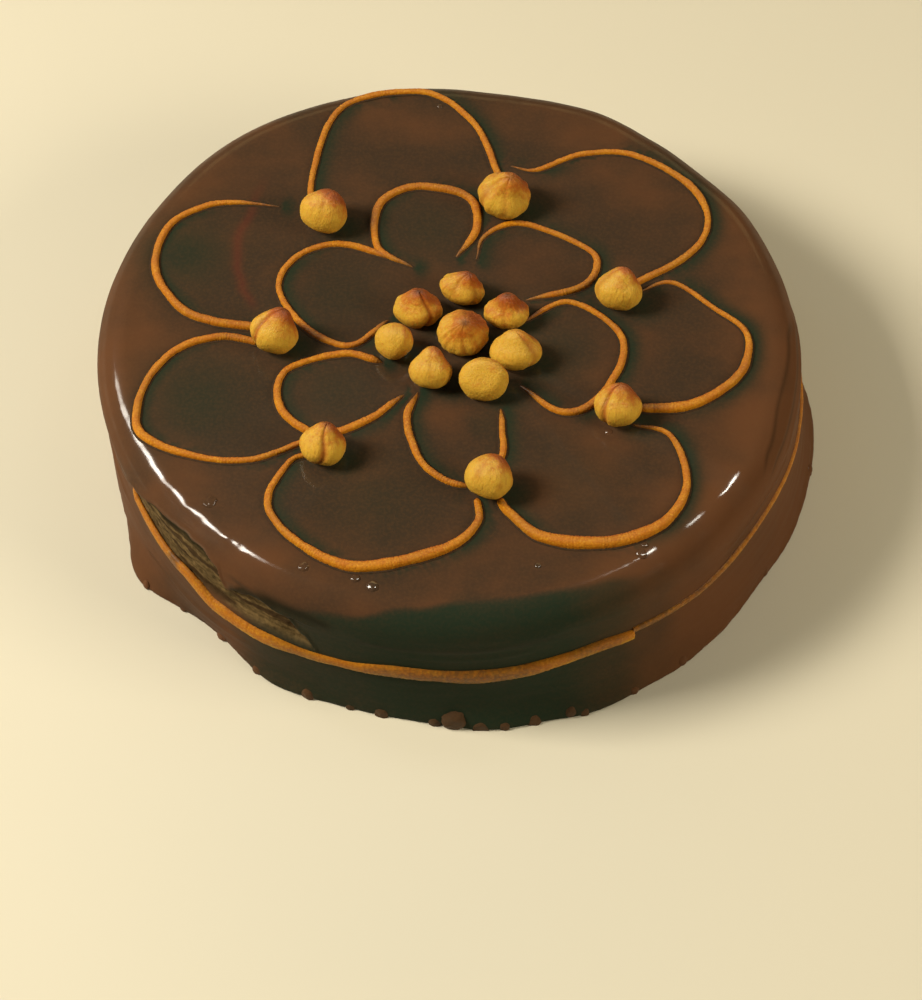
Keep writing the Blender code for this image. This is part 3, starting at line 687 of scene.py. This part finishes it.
def glaze_mesh():
    """One skin: rows round the side and over the rim, and a top of even triangles inside the last row."""
    columns, rows = glaze_columns(), glaze_rows()
    across = len(columns)
    azimuth = np.tile(columns % 360, len(rows))
    z, turn = (np.repeat(column, across) for column in zip(*rows))
    under = np.clip(1 - z / FOOT_ROUND, 0, 1)
    places = at_radius(azimuth, z, outline_radius(azimuth, z) - FOOT_ROUND * under**2)
    on_top = np.sin(turn) ** 2
    relief = side_relief(azimuth, z, places) * np.clip(z / FOOT_FADE, 0, 1) * (1 - on_top)
    relief = relief + top_relief(places[:, 0], places[:, 1]) * on_top + mound_rise(places)
    lift = np.column_stack([compass(azimuth) * np.cos(turn)[:, None], np.sin(turn)])
    points = places + lift * relief[:, None]
    # Painted light on the folds' crests, lighter and redder
    strength, crest, spread = FOLD_CREST_LIGHT
    lit_fold_crest = strength * bell(fold_rise(azimuth, up_the_skin(z)) / MM - crest, spread)
    bare, shade, thin = bare_share(azimuth, z), shade_share(azimuth, z), np.maximum(thin_and_lit_share(points), lit_fold_crest)

    faces = [
        (base + i, base + (i + 1) % across, base + across + (i + 1) % across, base + across + i)
        for base in range(0, (len(rows) - 1) * across, across) for i in range(across)
    ]
    faces.append(tuple(range(across - 1, -1, -1)))

    edge = points[-across:, :2]
    inner = top_points(edge)
    spots = [Vector(spot) for spot in np.concatenate([edge, inner]).tolist()]
    rim_edges = [(i, (i + 1) % across) for i in range(across)]
    made = delaunay_2d_cdt(spots, rim_edges, [], 1, 1e-7)
    first_spot = len(points) - across
    faces += [tuple(first_spot + made[3][i][0] for i in face) for face in made[2]]
    inner_points = np.column_stack([inner, np.full(len(inner), HEIGHT)])
    inner_points[:, 2] += top_relief(inner[:, 0], inner[:, 1]) + mound_rise(inner_points)
    points = np.concatenate([points, inner_points])
    plain = np.zeros(len(inner))
    thin = np.concatenate([thin, thin_and_lit_share(inner_points)])
    points[:, :2] = np.clip(points[:, :2], CAD_BOX[0][:2], CAD_BOX[1][:2])

    mesh = plain_mesh("poured_glaze", points, faces)
    store(
        mesh, bare=np.append(bare, plain), thin=thin, dark=painted_shade_share(points), gloss=gloss_share(points),
        streak=red_reflection_share(points), shade=np.append(shade, plain),
    )
    mesh.shade_smooth()
    tidy = bmesh.new()
    tidy.from_mesh(mesh)
    bmesh.ops.recalc_face_normals(tidy, faces=tidy.faces)
    tidy.to_mesh(mesh)
    tidy.free()
    return mesh


class Wire:
    """A socket of a tree, so that node maths reads as an expression."""

    def __init__(self, net, socket):
        self.net, self.socket = net, socket

    def maths(self, operation, *values):
        return self.net.node("ShaderNodeMath", {"operation": operation}, dict(enumerate(values)))

    def __add__(self, other):
        return self.maths("ADD", self, other)

    def __sub__(self, other):
        return self.maths("SUBTRACT", self, other)

    def __rsub__(self, other):
        return self.maths("SUBTRACT", other, self)

    def __mul__(self, other):
        return self.maths("MULTIPLY", self, other)

    def __truediv__(self, other):
        return self.maths("DIVIDE", self, other)

    __radd__ = __add__
    __rmul__ = __mul__

    def __pow__(self, power):
        return self.maths("POWER", self, power)

    def at_least(self, other):
        return self.maths("MAXIMUM", self, other)

    def clamped(self):
        return self.maths("MINIMUM", self, 1.0).at_least(0.0)

    def between(self, low, high):
        """0 below low, 1 above high and eased in between."""
        share = ((self - low) / (high - low)).clamped()
        return share * share * (3 - 2 * share)


class Net:
    """A node tree in the making, for a finish or for a shape."""

    def __init__(self, tree):
        self.tree = tree

    def node(self, kind, settings=None, inputs=None, output=0):
        made = self.tree.nodes.new(kind)
        for name, value in (settings or {}).items():
            setattr(made, name, value)
        for key, value in (inputs or {}).items():
            socket = made.inputs[key]
            if isinstance(value, Wire):
                self.tree.links.new(value.socket, socket)
            else:
                socket.default_value = value
        return Wire(self, made.outputs[output])

    def place(self):
        return self.node("ShaderNodeTexCoord", {}, {}, "Object")

    def attribute(self, name, output="Fac"):
        return self.node("ShaderNodeAttribute", {"attribute_name": name}, output=output)

    def noise(self, place, scale, detail=2.0):
        return self.node("ShaderNodeTexNoise", {}, {"Vector": place, "Scale": scale, "Detail": detail}, "Fac")

    def drawn_noise(self, place, scales, detail=3.0):
        """Noise with a scale of its own along each axis."""
        place = self.node("ShaderNodeVectorMath", {"operation": "MULTIPLY"}, {0: place, 1: scales})
        return self.noise(place, 1.0, detail)

    def axis(self, place, number):
        return self.node("ShaderNodeSeparateXYZ", {}, {0: place}, number)

    def vector(self, x, y, z):
        return self.node("ShaderNodeCombineXYZ", {}, {0: x, 1: y, 2: z})

    def layered(self, colour, *layers):
        """A colour with others mixed over it, each by its own share."""
        for share, over in layers:
            colours = {6: colour, 7: over}
            colours = {key: (*value, 1) if isinstance(value, tuple) else value for key, value in colours.items()}
            kinds = {"data_type": "RGBA", "clamp_factor": True}
            colour = self.node("ShaderNodeMix", kinds, {0: share, **colours}, 2)
        return colour

    def bump(self, strength, distance, height):
        return self.node("ShaderNodeBump", {}, {"Strength": strength, "Distance": distance, "Height": height})

    def named(self, name, kind="FLOAT"):
        return self.node("GeometryNodeInputNamedAttribute", {"data_type": kind}, {"Name": name})

    def keep(self, geometry, name, value):
        settings = {"data_type": "FLOAT", "domain": "POINT"}
        inputs = {"Geometry": geometry, "Name": name, "Value": value}
        return self.node("GeometryNodeStoreNamedAttribute", settings, inputs)

    def position(self):
        return self.node("GeometryNodeInputPosition")

    def moved_to(self, geometry, place):
        return self.node("GeometryNodeSetPosition", {}, {"Geometry": geometry, "Position": place})

    def roughened(self, geometry, scale, detail, depth):
        """Pushed in and out along its normals, by noise."""
        bumps = (self.noise(self.position(), scale, detail) - 0.5) * 2 * depth
        outward = self.node("GeometryNodeInputNormal", {}, {}, "Normal")
        push = self.node("ShaderNodeVectorMath", {"operation": "SCALE"}, {0: outward, "Scale": bumps})
        return self.node("GeometryNodeSetPosition", {}, {"Geometry": geometry, "Offset": push})

    def closed_off(self, geometry, finish):
        """Smooth, real and wearing its finish: the end of every shape's tree."""
        geometry = self.node("GeometryNodeSetShadeSmooth", {}, {"Geometry": geometry, "Shade Smooth": True})
        geometry = self.node("GeometryNodeRealizeInstances", {}, {"Geometry": geometry})
        geometry = self.node("GeometryNodeSetMaterial", {}, {"Geometry": geometry, "Material": finish})
        out = self.tree.nodes.new("NodeGroupOutput")
        self.tree.links.new(geometry.socket, out.inputs[0])
        return self.tree


def finish_net(name):
    finish = bpy.data.materials.new(name)
    finish.use_nodes = True
    finish.node_tree.nodes.clear()
    return finish, Net(finish.node_tree)


def close_finish(finish, net, look):
    shader = net.node("ShaderNodeBsdfPrincipled", {}, look)
    out = net.tree.nodes.new("ShaderNodeOutputMaterial")
    net.tree.links.new(shader.socket, out.inputs["Surface"])
    return finish


def glaze_finish():
    """Dark chocolate glaze, redder where thin, with painted light, shade and reflection, a soft sheen, a coat, bare
    crumb.
    """
    finish, net = finish_net("chocolate_glaze")
    place = net.place()
    thin, bare, dark, gloss, shade, streak = map(net.attribute, ("thin", "bare", "dark", "gloss", "shade", "streak"))
    mottle, fine, crumb = net.noise(place, 42.0, 4.0), net.noise(place, 1100.0, 3.0), net.noise(place, 800.0, 4.0)
    runs = net.drawn_noise(place, (26.0, 80.0, 80.0))
    smear = net.drawn_noise(place, (60.0, 60.0, 420.0))
    strokes = net.drawn_noise(place, (110.0, 110.0, 600.0))
    holes = net.drawn_noise(place, (260.0, 260.0, 420.0), 2.0).between(0.52, 0.72)
    smeared = net.drawn_noise(place, (48.0, 48.0, 430.0), 4.0).between(0.50, 0.60)
    # Redder where the glaze is thin and, as painted light, on the right and along the rim
    redder = (thin + (mottle - 0.5) * 1.3 + (runs - 0.5) * 0.5 - dark * 0.5).between(0.0, 1.0)
    # The dark attribute is painted shade: darker, greener glaze where shade and dark reflections lie
    deep = (dark + (mottle - 0.5) * 0.7 * dark + (smear - 0.5) * 0.5 * dark).clamped()
    glaze = net.layered(
        GLAZE, (redder, THIN_AND_LIT_GLAZE), (deep, PAINTED_SHADE_GLAZE), (streak * 0.5, RED_REFLECTION_GLAZE),
        (fine.between(0.35, 0.75) * 0.25 * (1 - deep * 0.7), GLAZE_SPECKS),
    )
    cake = net.layered(
        DARK_CAKE, ((crumb * 0.45 + strokes * 0.55).between(0.35, 0.65), LIGHT_CAKE), (holes * 0.6, CAKE_HOLES),
        (smeared * 0.85, CAKE_SMEARS),
    )
    rough = (0.40 + 0.16 * mottle + 0.10 * smear) * (1 - bare) + 0.85 * bare
    grain = fine * (0.22 + bare * 3.0) + smear * 0.5 * (1 - bare)
    return close_finish(finish, net, {
        "Base Color": net.layered(glaze, (bare, cake), (shade * 0.85, GLAZE_SHADE)),
        "Roughness": rough, "Normal": net.bump(0.10, 0.0006, grain), "IOR": 1.46,
        "Specular IOR Level": 0.04, "Specular Tint": (1.0, 0.66, 0.36, 1),
        "Coat Weight": gloss * (1 - bare) * (0.45 + 0.55 * net.noise(place, 240.0, 3.0).between(0.30, 0.55)),
        "Coat Roughness": 0.12, "Coat IOR": 1.5,
    })


def icing_finish():
    """Caramel icing, ribbed: redder painted shade on flanks, back side and grooves; a film of glaze over some
    stretches.
    """
    finish, net = finish_net("caramel_icing")
    place = net.place()
    film, ridge, rib = map(net.attribute, ("film", "ridge", "rib"))
    grain = net.noise(place, 1700.0, 3.0)
    far = net.axis(net.node("ShaderNodeNewGeometry", output="Normal"), 1)
    # The film is a glaze film, and on the ring's front and right it also carries painted shade
    worn = (film + (net.noise(place, 900.0, 3.0) - 0.5) * 1.7 * film).clamped()
    colour = net.layered(
        ICING, (net.noise(place, 240.0, 3.0).between(0.35, 0.7), PALE_ICING),
        # Painted shade: redder and darker down the flanks, on the side facing back and in the grooves between ribs
        ((1 - ridge + (grain - 0.5) * 0.5).between(0.50, 1.15) * 0.55, ICING_SHADED_FLANK),
        ((far + (grain - 0.5) * 0.6).between(0.12, 0.80) * 0.9, ICING_SHADED_BACK),
        ((0.5 - rib * 0.5) * 0.14, ICING_GROOVE_SHADE), (grain.between(0.48, 0.74) * 0.6, ICING_SPECKS),
        ((1 - grain).between(0.50, 0.74) * 0.28, ICING_GLINTS), (worn * 0.85, ICING_FILM_AND_SHADE),
    )
    return close_finish(finish, net, {
        "Base Color": colour, "Roughness": 0.66 - 0.25 * worn, "Normal": net.bump(0.6, 0.0003, grain + rib * 0.15),
        "Specular IOR Level": 0.22,
        "Subsurface Weight": 0.06, "Subsurface Radius": (1.0, 0.5, 0.2), "Subsurface Scale": 0.001,
    })


def kernel_finish():
    """Blanched, toasted hazelnut: golden, browner round the tip, along creases and in painted shade; finely furrowed.
    """
    finish, net = finish_net("toasted_hazelnut")
    toast, groove, spot, seed = map(net.attribute, ("toast", "groove", "spot", "kernel_number"))
    apart = net.vector(seed, seed * 1.7, seed * 0.6)
    local = {0: net.attribute("kernel_place", "Vector"), 1: apart}
    local = net.node("ShaderNodeVectorMath", {"operation": "ADD"}, local)
    furrows = net.drawn_noise(local, (11.0, 11.0, 1.5))
    blotch, patches, speck = (net.noise(local, scale, 3.0) for scale in (1.9, 5.0, 26.0))
    # The toast holds real toasting round the tip and painted shade on the side away from the light
    brown = toast + (blotch - 0.5) * 1.35 + (furrows - 0.5) * 0.45 + (patches - 0.5) * 0.7
    colour = net.layered(
        KERNEL, (brown.between(0.05, 1.0), TOASTED_AND_SHADED_KERNEL), (toast.between(0.50, 1.00) * 0.9, DARK_TOASTED_AND_SHADED),
        (furrows.between(0.52, 0.75) * 0.30, KERNEL_FURROWS), (speck.between(0.58, 0.76) * 0.5, KERNEL_SPECKS),
        ((1 - speck).between(0.60, 0.78) * 0.4, KERNEL_GLINTS), (groove * 0.8, KERNEL_CREASES), (spot, KERNEL_TIP),
    )
    height = furrows * 0.7 + patches * 0.6 + speck * 0.35
    return close_finish(finish, net, {
        "Base Color": colour, "Roughness": 0.42 + 0.15 * blotch, "Normal": net.bump(0.70, 0.0005, height),
        "Specular IOR Level": 0.28,
        "Subsurface Weight": 0.10, "Subsurface Radius": (1.0, 0.45, 0.12), "Subsurface Scale": 0.0022,
    })


def floor_finish():
    finish, net = finish_net("pale_floor")
    place = net.place()
    colour = net.layered(FLOOR, (net.noise(place, 3.0, 3.0), PALE_FLOOR))
    return close_finish(finish, net, {"Base Color": colour, "Roughness": 0.75})


def shape_net(name, given, made, numbers):
    """A shape's tree in the making, and its inputs by name: a mesh, then these numbers, then the finish."""
    net = Net(bpy.data.node_groups.new(name, "GeometryNodeTree"))
    add = net.tree.interface.new_socket
    add(given, in_out="INPUT", socket_type="NodeSocketGeometry")
    for label, value in numbers.items():
        kind = "NodeSocketInt" if isinstance(value, int) else "NodeSocketFloat"
        add(label, in_out="INPUT", socket_type=kind).default_value = value
    add("Finish", in_out="INPUT", socket_type="NodeSocketMaterial")
    add(made, in_out="OUTPUT", socket_type="NodeSocketGeometry")
    inputs = net.tree.nodes.new("NodeGroupInput")
    return net, {socket.name: Wire(net, socket) for socket in inputs.outputs if socket.name}


def piping_tree():
    """Sweeps a round-shouldered bead along every edge path, with ribs across it and an uneven skin."""
    net, taken = shape_net("piped_bead", "Lines", "Bead", {
        "Across": 1.0, "Up": 1.0, "Squareness": 0.8, "Margin": 0.0, "Step": 0.0003, "Rib Spacing": 0.0008,
        "Rib Depth": 0.040, "Unevenness": 0.00020, "Sides": 20,
    })
    line = net.node("GeometryNodeMeshToCurve", {}, {"Mesh": taken["Lines"]})
    line = net.node("GeometryNodeResampleCurve", {"mode": "LENGTH"}, {"Curve": line, "Length": taken["Step"]})
    line = net.node("GeometryNodeSetCurveNormal", {"mode": "Z_UP"}, {"Curve": line})
    travelled = net.node("GeometryNodeSplineParameter", {}, {}, "Length")
    along = net.position()
    rib = travelled * (2 * math.pi) / taken["Rib Spacing"] + net.noise(along, 300.0) * 14.0
    rib = rib.maths("SINE", rib) * net.noise(along, 220.0).between(0.35, 0.65)
    line = net.keep(line, "rib", rib + (net.noise(along, 1500.0) - 0.5) * 1.4)
    size = (net.named("half_width") + taken["Margin"]) * (1 + net.named("rib") * taken["Rib Depth"])

    circle = net.node("GeometryNodeCurvePrimitiveCircle", {}, {"Resolution": taken["Sides"], "Radius": 1.0})
    around = net.position()
    x, y = (net.axis(around, number) for number in (0, 1))
    x, y = (part.maths("SIGN", part) * part.maths("ABSOLUTE", part) ** taken["Squareness"] for part in (x, y))
    profile = net.moved_to(net.keep(circle, "ridge", y), net.vector(x * taken["Across"], y * taken["Up"], 0.0))
    swept = {"Curve": line, "Profile Curve": profile, "Scale": size, "Fill Caps": True}
    bead = net.node("GeometryNodeCurveToMesh", {}, swept)
    return net.closed_off(net.roughened(bead, 900.0, 3.0, taken["Unevenness"]), taken["Finish"])


def drops_tree():
    """Sets a flattened, uneven drop on every point, turned to face outwards and never below the floor."""
    numbers = {"Fineness": 4, "Unevenness": 0.28, "Wave": 330.0}
    net, taken = shape_net("glaze_drop", "Places", "Drops", numbers)
    ball = net.node("GeometryNodeMeshIcoSphere", {}, {"Radius": 1.0, "Subdivisions": taken["Fineness"]})
    facing = {"Vector": net.named("outward", "FLOAT_VECTOR")}
    turn = net.node("FunctionNodeAlignRotationToVector", {"axis": "Z"}, facing)
    size = net.named("drop_size", "FLOAT_VECTOR")
    set_out = {"Points": taken["Places"], "Instance": ball, "Rotation": turn, "Scale": size}
    drops = net.node("GeometryNodeInstanceOnPoints", {}, set_out)
    drops = net.node("GeometryNodeRealizeInstances", {}, {"Geometry": drops})
    drops = net.roughened(drops, taken["Wave"], 2.0, taken["Unevenness"] * net.axis(size, 0))
    x, y, z = (net.axis(net.position(), number) for number in range(3))
    return net.closed_off(net.moved_to(drops, net.vector(x, y, z.at_least(FLOOR_GAP))), taken["Finish"])


def drop_places():
    """A mesh of bare points where the drops sit, with their sizes and the way they face."""
    sizes = [(drop.width * MM / 2, drop.width * MM / 2, drop.width * drop.thick * MM) for drop in DROPS + TOP_DROPS]
    points, facings = [], []
    for drop, (_, _, thick) in zip(DROPS, sizes):
        sink, lift = (FOOT_SINK, FOOT_LIFT) if drop.level < FOOT_LEVEL else (0, 0)
        outward = np.array([*compass(drop.azimuth), 0])
        points.append(skin_place(drop.azimuth, drop.level * MM) - outward * (DROP_SINK * thick + sink))
        facings.append((*outward[:2], lift))
    for drop, (_, _, thick) in zip(TOP_DROPS, sizes[len(DROPS):]):
        place = np.array([[drop.x, drop.y]]) * MM
        points.append((*place[0], HEIGHT + top_relief(*place.T)[0] - DROP_SINK * thick))
        facings.append((0, 0, 1))
    mesh = plain_mesh("drop_places", points)
    store(mesh, drop_size=sizes, outward=facings)
    glints = [1.0 if drop.thick > FLAT_DROP else FLAT_GLOSS for drop in TOP_DROPS]
    store(mesh, thin=[SIDE_DROP_THIN] * len(DROPS) + [TOP_DROP_THIN] * len(TOP_DROPS))
    store(mesh, gloss=[SIDE_DROP_GLOSS] * len(DROPS) + glints, dark=DROP_SHADE * painted_shade_share(np.array(points)))
    return mesh


def grown(name, mesh, tree, settings):
    """The plain mesh that a tree makes of this mesh."""
    seedling = placed(name, mesh)
    modifier = seedling.modifiers.new(tree.name, "NODES")
    modifier.node_group = tree
    names = {item.name: item.identifier for item in tree.interface.items_tree if item.in_out == "INPUT"}
    for key, value in settings.items():
        modifier[names[key]] = value
    bpy.context.view_layer.update()
    graph = bpy.context.evaluated_depsgraph_get()
    made = bpy.data.meshes.new_from_object(seedling.evaluated_get(graph))
    seedling.modifiers.clear()
    bpy.data.objects.remove(seedling, do_unlink=True)
    made.name = name
    return made


def line_mesh(name, runs):
    """Edge paths through runs of (points, half widths, film)."""
    points, halves, films = (np.concatenate(column) for column in zip(*runs))
    edges = [(i, i + 1) for i in range(len(points) - 1)]
    last_points = np.cumsum([len(run[0]) for run in runs]) - 1
    mesh = plain_mesh(name, points, (), [edge for edge in edges if edge[0] not in last_points])
    store(mesh, half_width=halves, film=films)
    return mesh


def smooth_route(points):
    """A smooth course through the points, with every column, such as a width, eased along."""
    knots = np.array(points, float) * MM
    knots = np.concatenate([[2 * knots[0] - knots[1]], knots, [2 * knots[-1] - knots[-2]]])
    route = []
    for before, start, end, after in zip(knots, knots[1:], knots[2:], knots[3:]):
        for piece in range(ROUTE_PIECES):
            t = piece / ROUTE_PIECES
            bend = 2 * before - 5 * start + 4 * end - after
            twist = 3 * start - before - 3 * end + after
            route.append(0.5 * (2 * start + (end - before) * t + bend * t**2 + twist * t**3))
    return np.array([*route, knots[-2]])


def clear_stretches(route):
    """The runs of a route that reach no further than a little way under each kernel."""
    hidden = np.zeros(len(route), bool)
    for nut in FOOTPRINTS:
        hidden |= np.hypot(route[:, 0] - nut.x, route[:, 1] - nut.y) < UNDER_NUT * nut.width
    breaks = np.flatnonzero(np.diff(hidden.astype(int))) + 1
    runs = np.split(np.arange(len(route)), breaks)
    return [route[run] for run in runs if not hidden[run[0]] and len(run) > 2]


def petal_runs():
    runs = []
    for number, petal in enumerate(PETALS):
        for run in clear_stretches(smooth_route(petal.points)):
            route, width = run[:, :2], run[:, 2]
            travelled = np.concatenate([[0], np.cumsum(np.hypot(*np.diff(route, axis=0).T))])
            left = travelled[-1] - travelled
            near_end = np.clip(np.minimum(travelled, left) / (BEAD_TIP * width), 0, 1)
            width = width * np.maximum(np.sqrt(1 - (1 - near_end) ** 2), BEAD_THINNEST)
            tail = np.ones(len(route))
            for travel, tail_length in zip((travelled, left), petal.tails):
                if tail_length:
                    tail = tail * np.clip(travel / (tail_length * MM), 0, 1) ** TAIL_CURVE
            width = width * (TAIL_THINNEST + (1 - TAIL_THINNEST) * tail)
            spots = np.column_stack([route, np.full(len(route), number * 0.05)])
            width = width * (1 + PETAL_UNEVEN * ripple(spots, 6 * MM, 4.4))
            sway = PETAL_SWAY * np.column_stack([ripple(spots, 5 * MM, 1.9), ripple(spots, 5 * MM, 6.3)])
            z = HEIGHT + top_relief(route[:, 0], route[:, 1])
            film = PETAL_FILM * eased((ripple(spots, 16 * MM, 2.7) + 0.1) * 2)
            film = np.maximum(film, 1 - tail**1.6)
            runs.append((np.column_stack([route + sway, z]), width / 2, film))
    return runs


def ring_runs():
    azimuth = np.linspace(RING_COURSE[0][0], RING_COURSE[-1][0], RING_POINTS)
    around = round_side(azimuth)
    width = on_course(azimuth, RING_COURSE, 2) * (1 + RING_UNEVEN * ripple(around, 7 * MM, 3.3))
    z = on_course(azimuth, RING_COURSE) + RING_SWAY * ripple(around, 9 * MM, 5.1)
    hidden = on_course(azimuth, RING_HIDDEN)
    width = width * (1 - RING_SHRINK * hidden)
    route = at_radius(azimuth, z, outline_radius(azimuth % 360, z) - RING_PROUD * hidden)
    return [(route, width / 2, np.maximum(on_course(azimuth, RING_FILM_AND_SHADE), hidden))]


def aimed(azimuth, lift):
    lift = math.radians(lift)
    return Vector((*(compass(azimuth) * math.cos(lift)), math.sin(lift)))


def kernel_radius(kernel, from_tip, azimuth):
    """The kernel's radius for a width of 2, and how deep in a crease each place lies."""
    radius = 1 + kernel.point * bell(from_tip, TIP_SPREAD)
    radius = radius - SHOULDER_DIP * kernel.point * bell(from_tip - SHOULDER_FROM_TIP, TIP_SPREAD)
    waist = np.sin(np.radians(from_tip))
    crooked = azimuth + RIB_CROOK * np.sin(np.radians(2 * azimuth + kernel.tip_azimuth))
    radius = radius + kernel.rib * waist**0.5 * np.cos(np.radians(kernel.ribs * crooked))
    groove = np.zeros_like(radius)
    for place, depth, spread, reach in kernel.creases:
        bent = place + CREASE_BEND * np.sin(np.radians(from_tip * 2.2 + place))
        valley = bell(turned_from(azimuth, bent), spread) * waist**0.35 * eased((reach - from_tip) / CREASE_END)
        radius = radius - depth * valley
        groove = np.maximum(groove, valley * min(1, depth * 9))
    for place, at, spread, out in kernel.lobes:
        radius = radius + out * bell(turned_from(azimuth, place) * waist, spread) * bell(from_tip - at, spread)
    return radius, groove


def kernel_mesh(kernel, number):
    """A hazelnut kernel with its tip, ribs and creases, fitted to its node's box and settled in the glaze."""
    tips = np.linspace(0, 180, KERNEL_RINGS + 1)[1:-1]
    spokes = np.arange(KERNEL_SPOKES) * 360 / KERNEL_SPOKES
    from_tip = np.concatenate([[0], np.repeat(tips, KERNEL_SPOKES), [180]])
    azimuth = np.concatenate([[0], np.tile(spokes, len(tips)), [0]])
    radius, groove = kernel_radius(kernel, from_tip, azimuth)
    flat = compass(azimuth) * np.sin(np.radians(from_tip))[:, None]
    unit = np.column_stack([flat, np.cos(np.radians(from_tip))])
    uneven = 0.045 * ripple(unit, 0.75, number * 3.7) + 0.012 * ripple(unit, 0.2, number) + 0.005 * ripple(unit, 0.08)
    shape = unit * radius[:, None] + unit * uneven[:, None]
    base = np.logaddexp(shape[:, 2] * BASE_SHARPNESS, -KERNEL_BASE * BASE_SHARPNESS) / BASE_SHARPNESS
    shape[:, 2] = base * kernel.length
    tilt = Vector((0, 0, 1)).rotation_difference(aimed(kernel.tip_azimuth, kernel.tip_lift)).to_matrix()
    tilt = np.array(tilt).T
    points = shape @ tilt

    low, high = (np.array(corner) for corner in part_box(kernel.node))
    floor_level = low[2]
    low = low - (0, 0, KERNEL_SETTLE * (high[0] - low[0]))
    points = low + (points - points.min(0)) / (points.max(0) - points.min(0)) * (high - low)
    points[:, 2] = np.maximum(points[:, 2], floor_level - KERNEL_SINK)

    faces = []
    last = len(points) - 1
    last_ring = last - KERNEL_SPOKES
    for i in range(KERNEL_SPOKES):
        j = (i + 1) % KERNEL_SPOKES
        faces.append((0, 1 + i, 1 + j))
        for ring in range(1, last_ring, KERNEL_SPOKES):
            below = ring + KERNEL_SPOKES
            faces.append((ring + i, below + i, below + j, ring + j))
        faces.append((last_ring + i, last, last_ring + j))
    mesh = plain_mesh(kernel.node + "_kernel", points, faces)
    mesh.shade_smooth()
    # The toast also browns the side away from the light, as painted shade
    shaded_side = np.clip((unit @ tilt) @ KERNEL_SHADED_SIDE, 0, 1) ** 2
    store(
        mesh, toast=kernel.toast * (0.25 + 0.95 * bell(from_tip, 58)) + 0.75 * shaded_side, groove=groove,
        spot=kernel.spot * bell(from_tip, SPOT_SPREAD), kernel_place=unit,
        kernel_number=np.full(len(points), float(number)),
    )
    return mesh


def add_lights():
    for box in SOFT_BOXES:
        light = bpy.data.lights.new(box.name, "AREA")
        light.shape = "RECTANGLE"
        light.size, light.size_y = box.width, box.height
        light.energy = box.power
        light.color = box.tint
        lamp = placed(box.name, light)
        lamp.visible_diffuse = box.name not in FOR_SHINE
        lamp.visible_glossy = box.name not in FOR_SHAPE
        towards = aimed(box.azimuth, box.lift)
        lamp.location = AIM + towards * box.distance
        lamp.rotation_euler = towards.to_track_quat("Z", "Y").to_euler()
    world = bpy.data.worlds.new("studio")
    world.use_nodes = True
    background = world.node_tree.nodes["Background"]
    background.inputs["Color"].default_value = (*STUDIO_TINT, 1)
    background.inputs["Strength"].default_value = STUDIO_STRENGTH
    bpy.context.scene.world = world


def add_camera():
    view = bpy.data.cameras.new("camera")
    view.lens = CAMERA_LENS
    view.clip_start = 0.01
    camera = placed("camera", view)
    stand = Matrix((CAMERA_RIGHT, CAMERA_UP, CAMERA_BACK)).transposed().to_4x4()
    stand.translation = CAMERA_PLACE
    camera.matrix_world = stand
    bpy.context.scene.camera = camera


def add_floor():
    corners = [(x * FLOOR_HALF, y * FLOOR_HALF, 0) for x, y in ((-1, -1), (1, -1), (1, 1), (-1, 1))]
    mesh = plain_mesh("floor", corners, [(0, 1, 2, 3)])
    mesh.materials.append(floor_finish())
    placed("floor", mesh)


def main():
    glaze, icing, hazelnut = glaze_finish(), icing_finish(), kernel_finish()
    finished("poured_glaze", glaze_mesh(), glaze, [CAKE])

    piping = piping_tree()
    petals = line_mesh("petal_lines", petal_runs())
    loops = grown("icing_petals", petals, piping, {"Up": BEAD_RISE, "Finish": icing})
    finished("icing_petals", loops, icing, [CAKE])
    collars = grown("glaze_collars", petals, piping, {**COLLAR, "Finish": glaze})
    finished("glaze_collars", collars, glaze, [CAKE])
    ring = grown("icing_ring", line_mesh("ring_line", ring_runs()), piping, {**RING_BEAD, "Finish": icing})
    finished("icing_ring", ring, icing, [CAKE])

    drops = grown("glaze_drops", drop_places(), drops_tree(), {"Finish": glaze})
    for point in drops.vertices:
        for axis in (0, 1):
            point.co[axis] = min(max(point.co[axis], CAD_BOX[0][axis]), CAD_BOX[1][axis])
    finished("glaze_drops", drops, glaze, [CAKE])

    for number, kernel in enumerate(KERNELS):
        finished(kernel.node + "_kernel", kernel_mesh(kernel, number), hazelnut, [kernel.node])

    add_floor()
    add_lights()
    add_camera()
    bpy.context.scene.view_settings.view_transform = "Standard"


main()
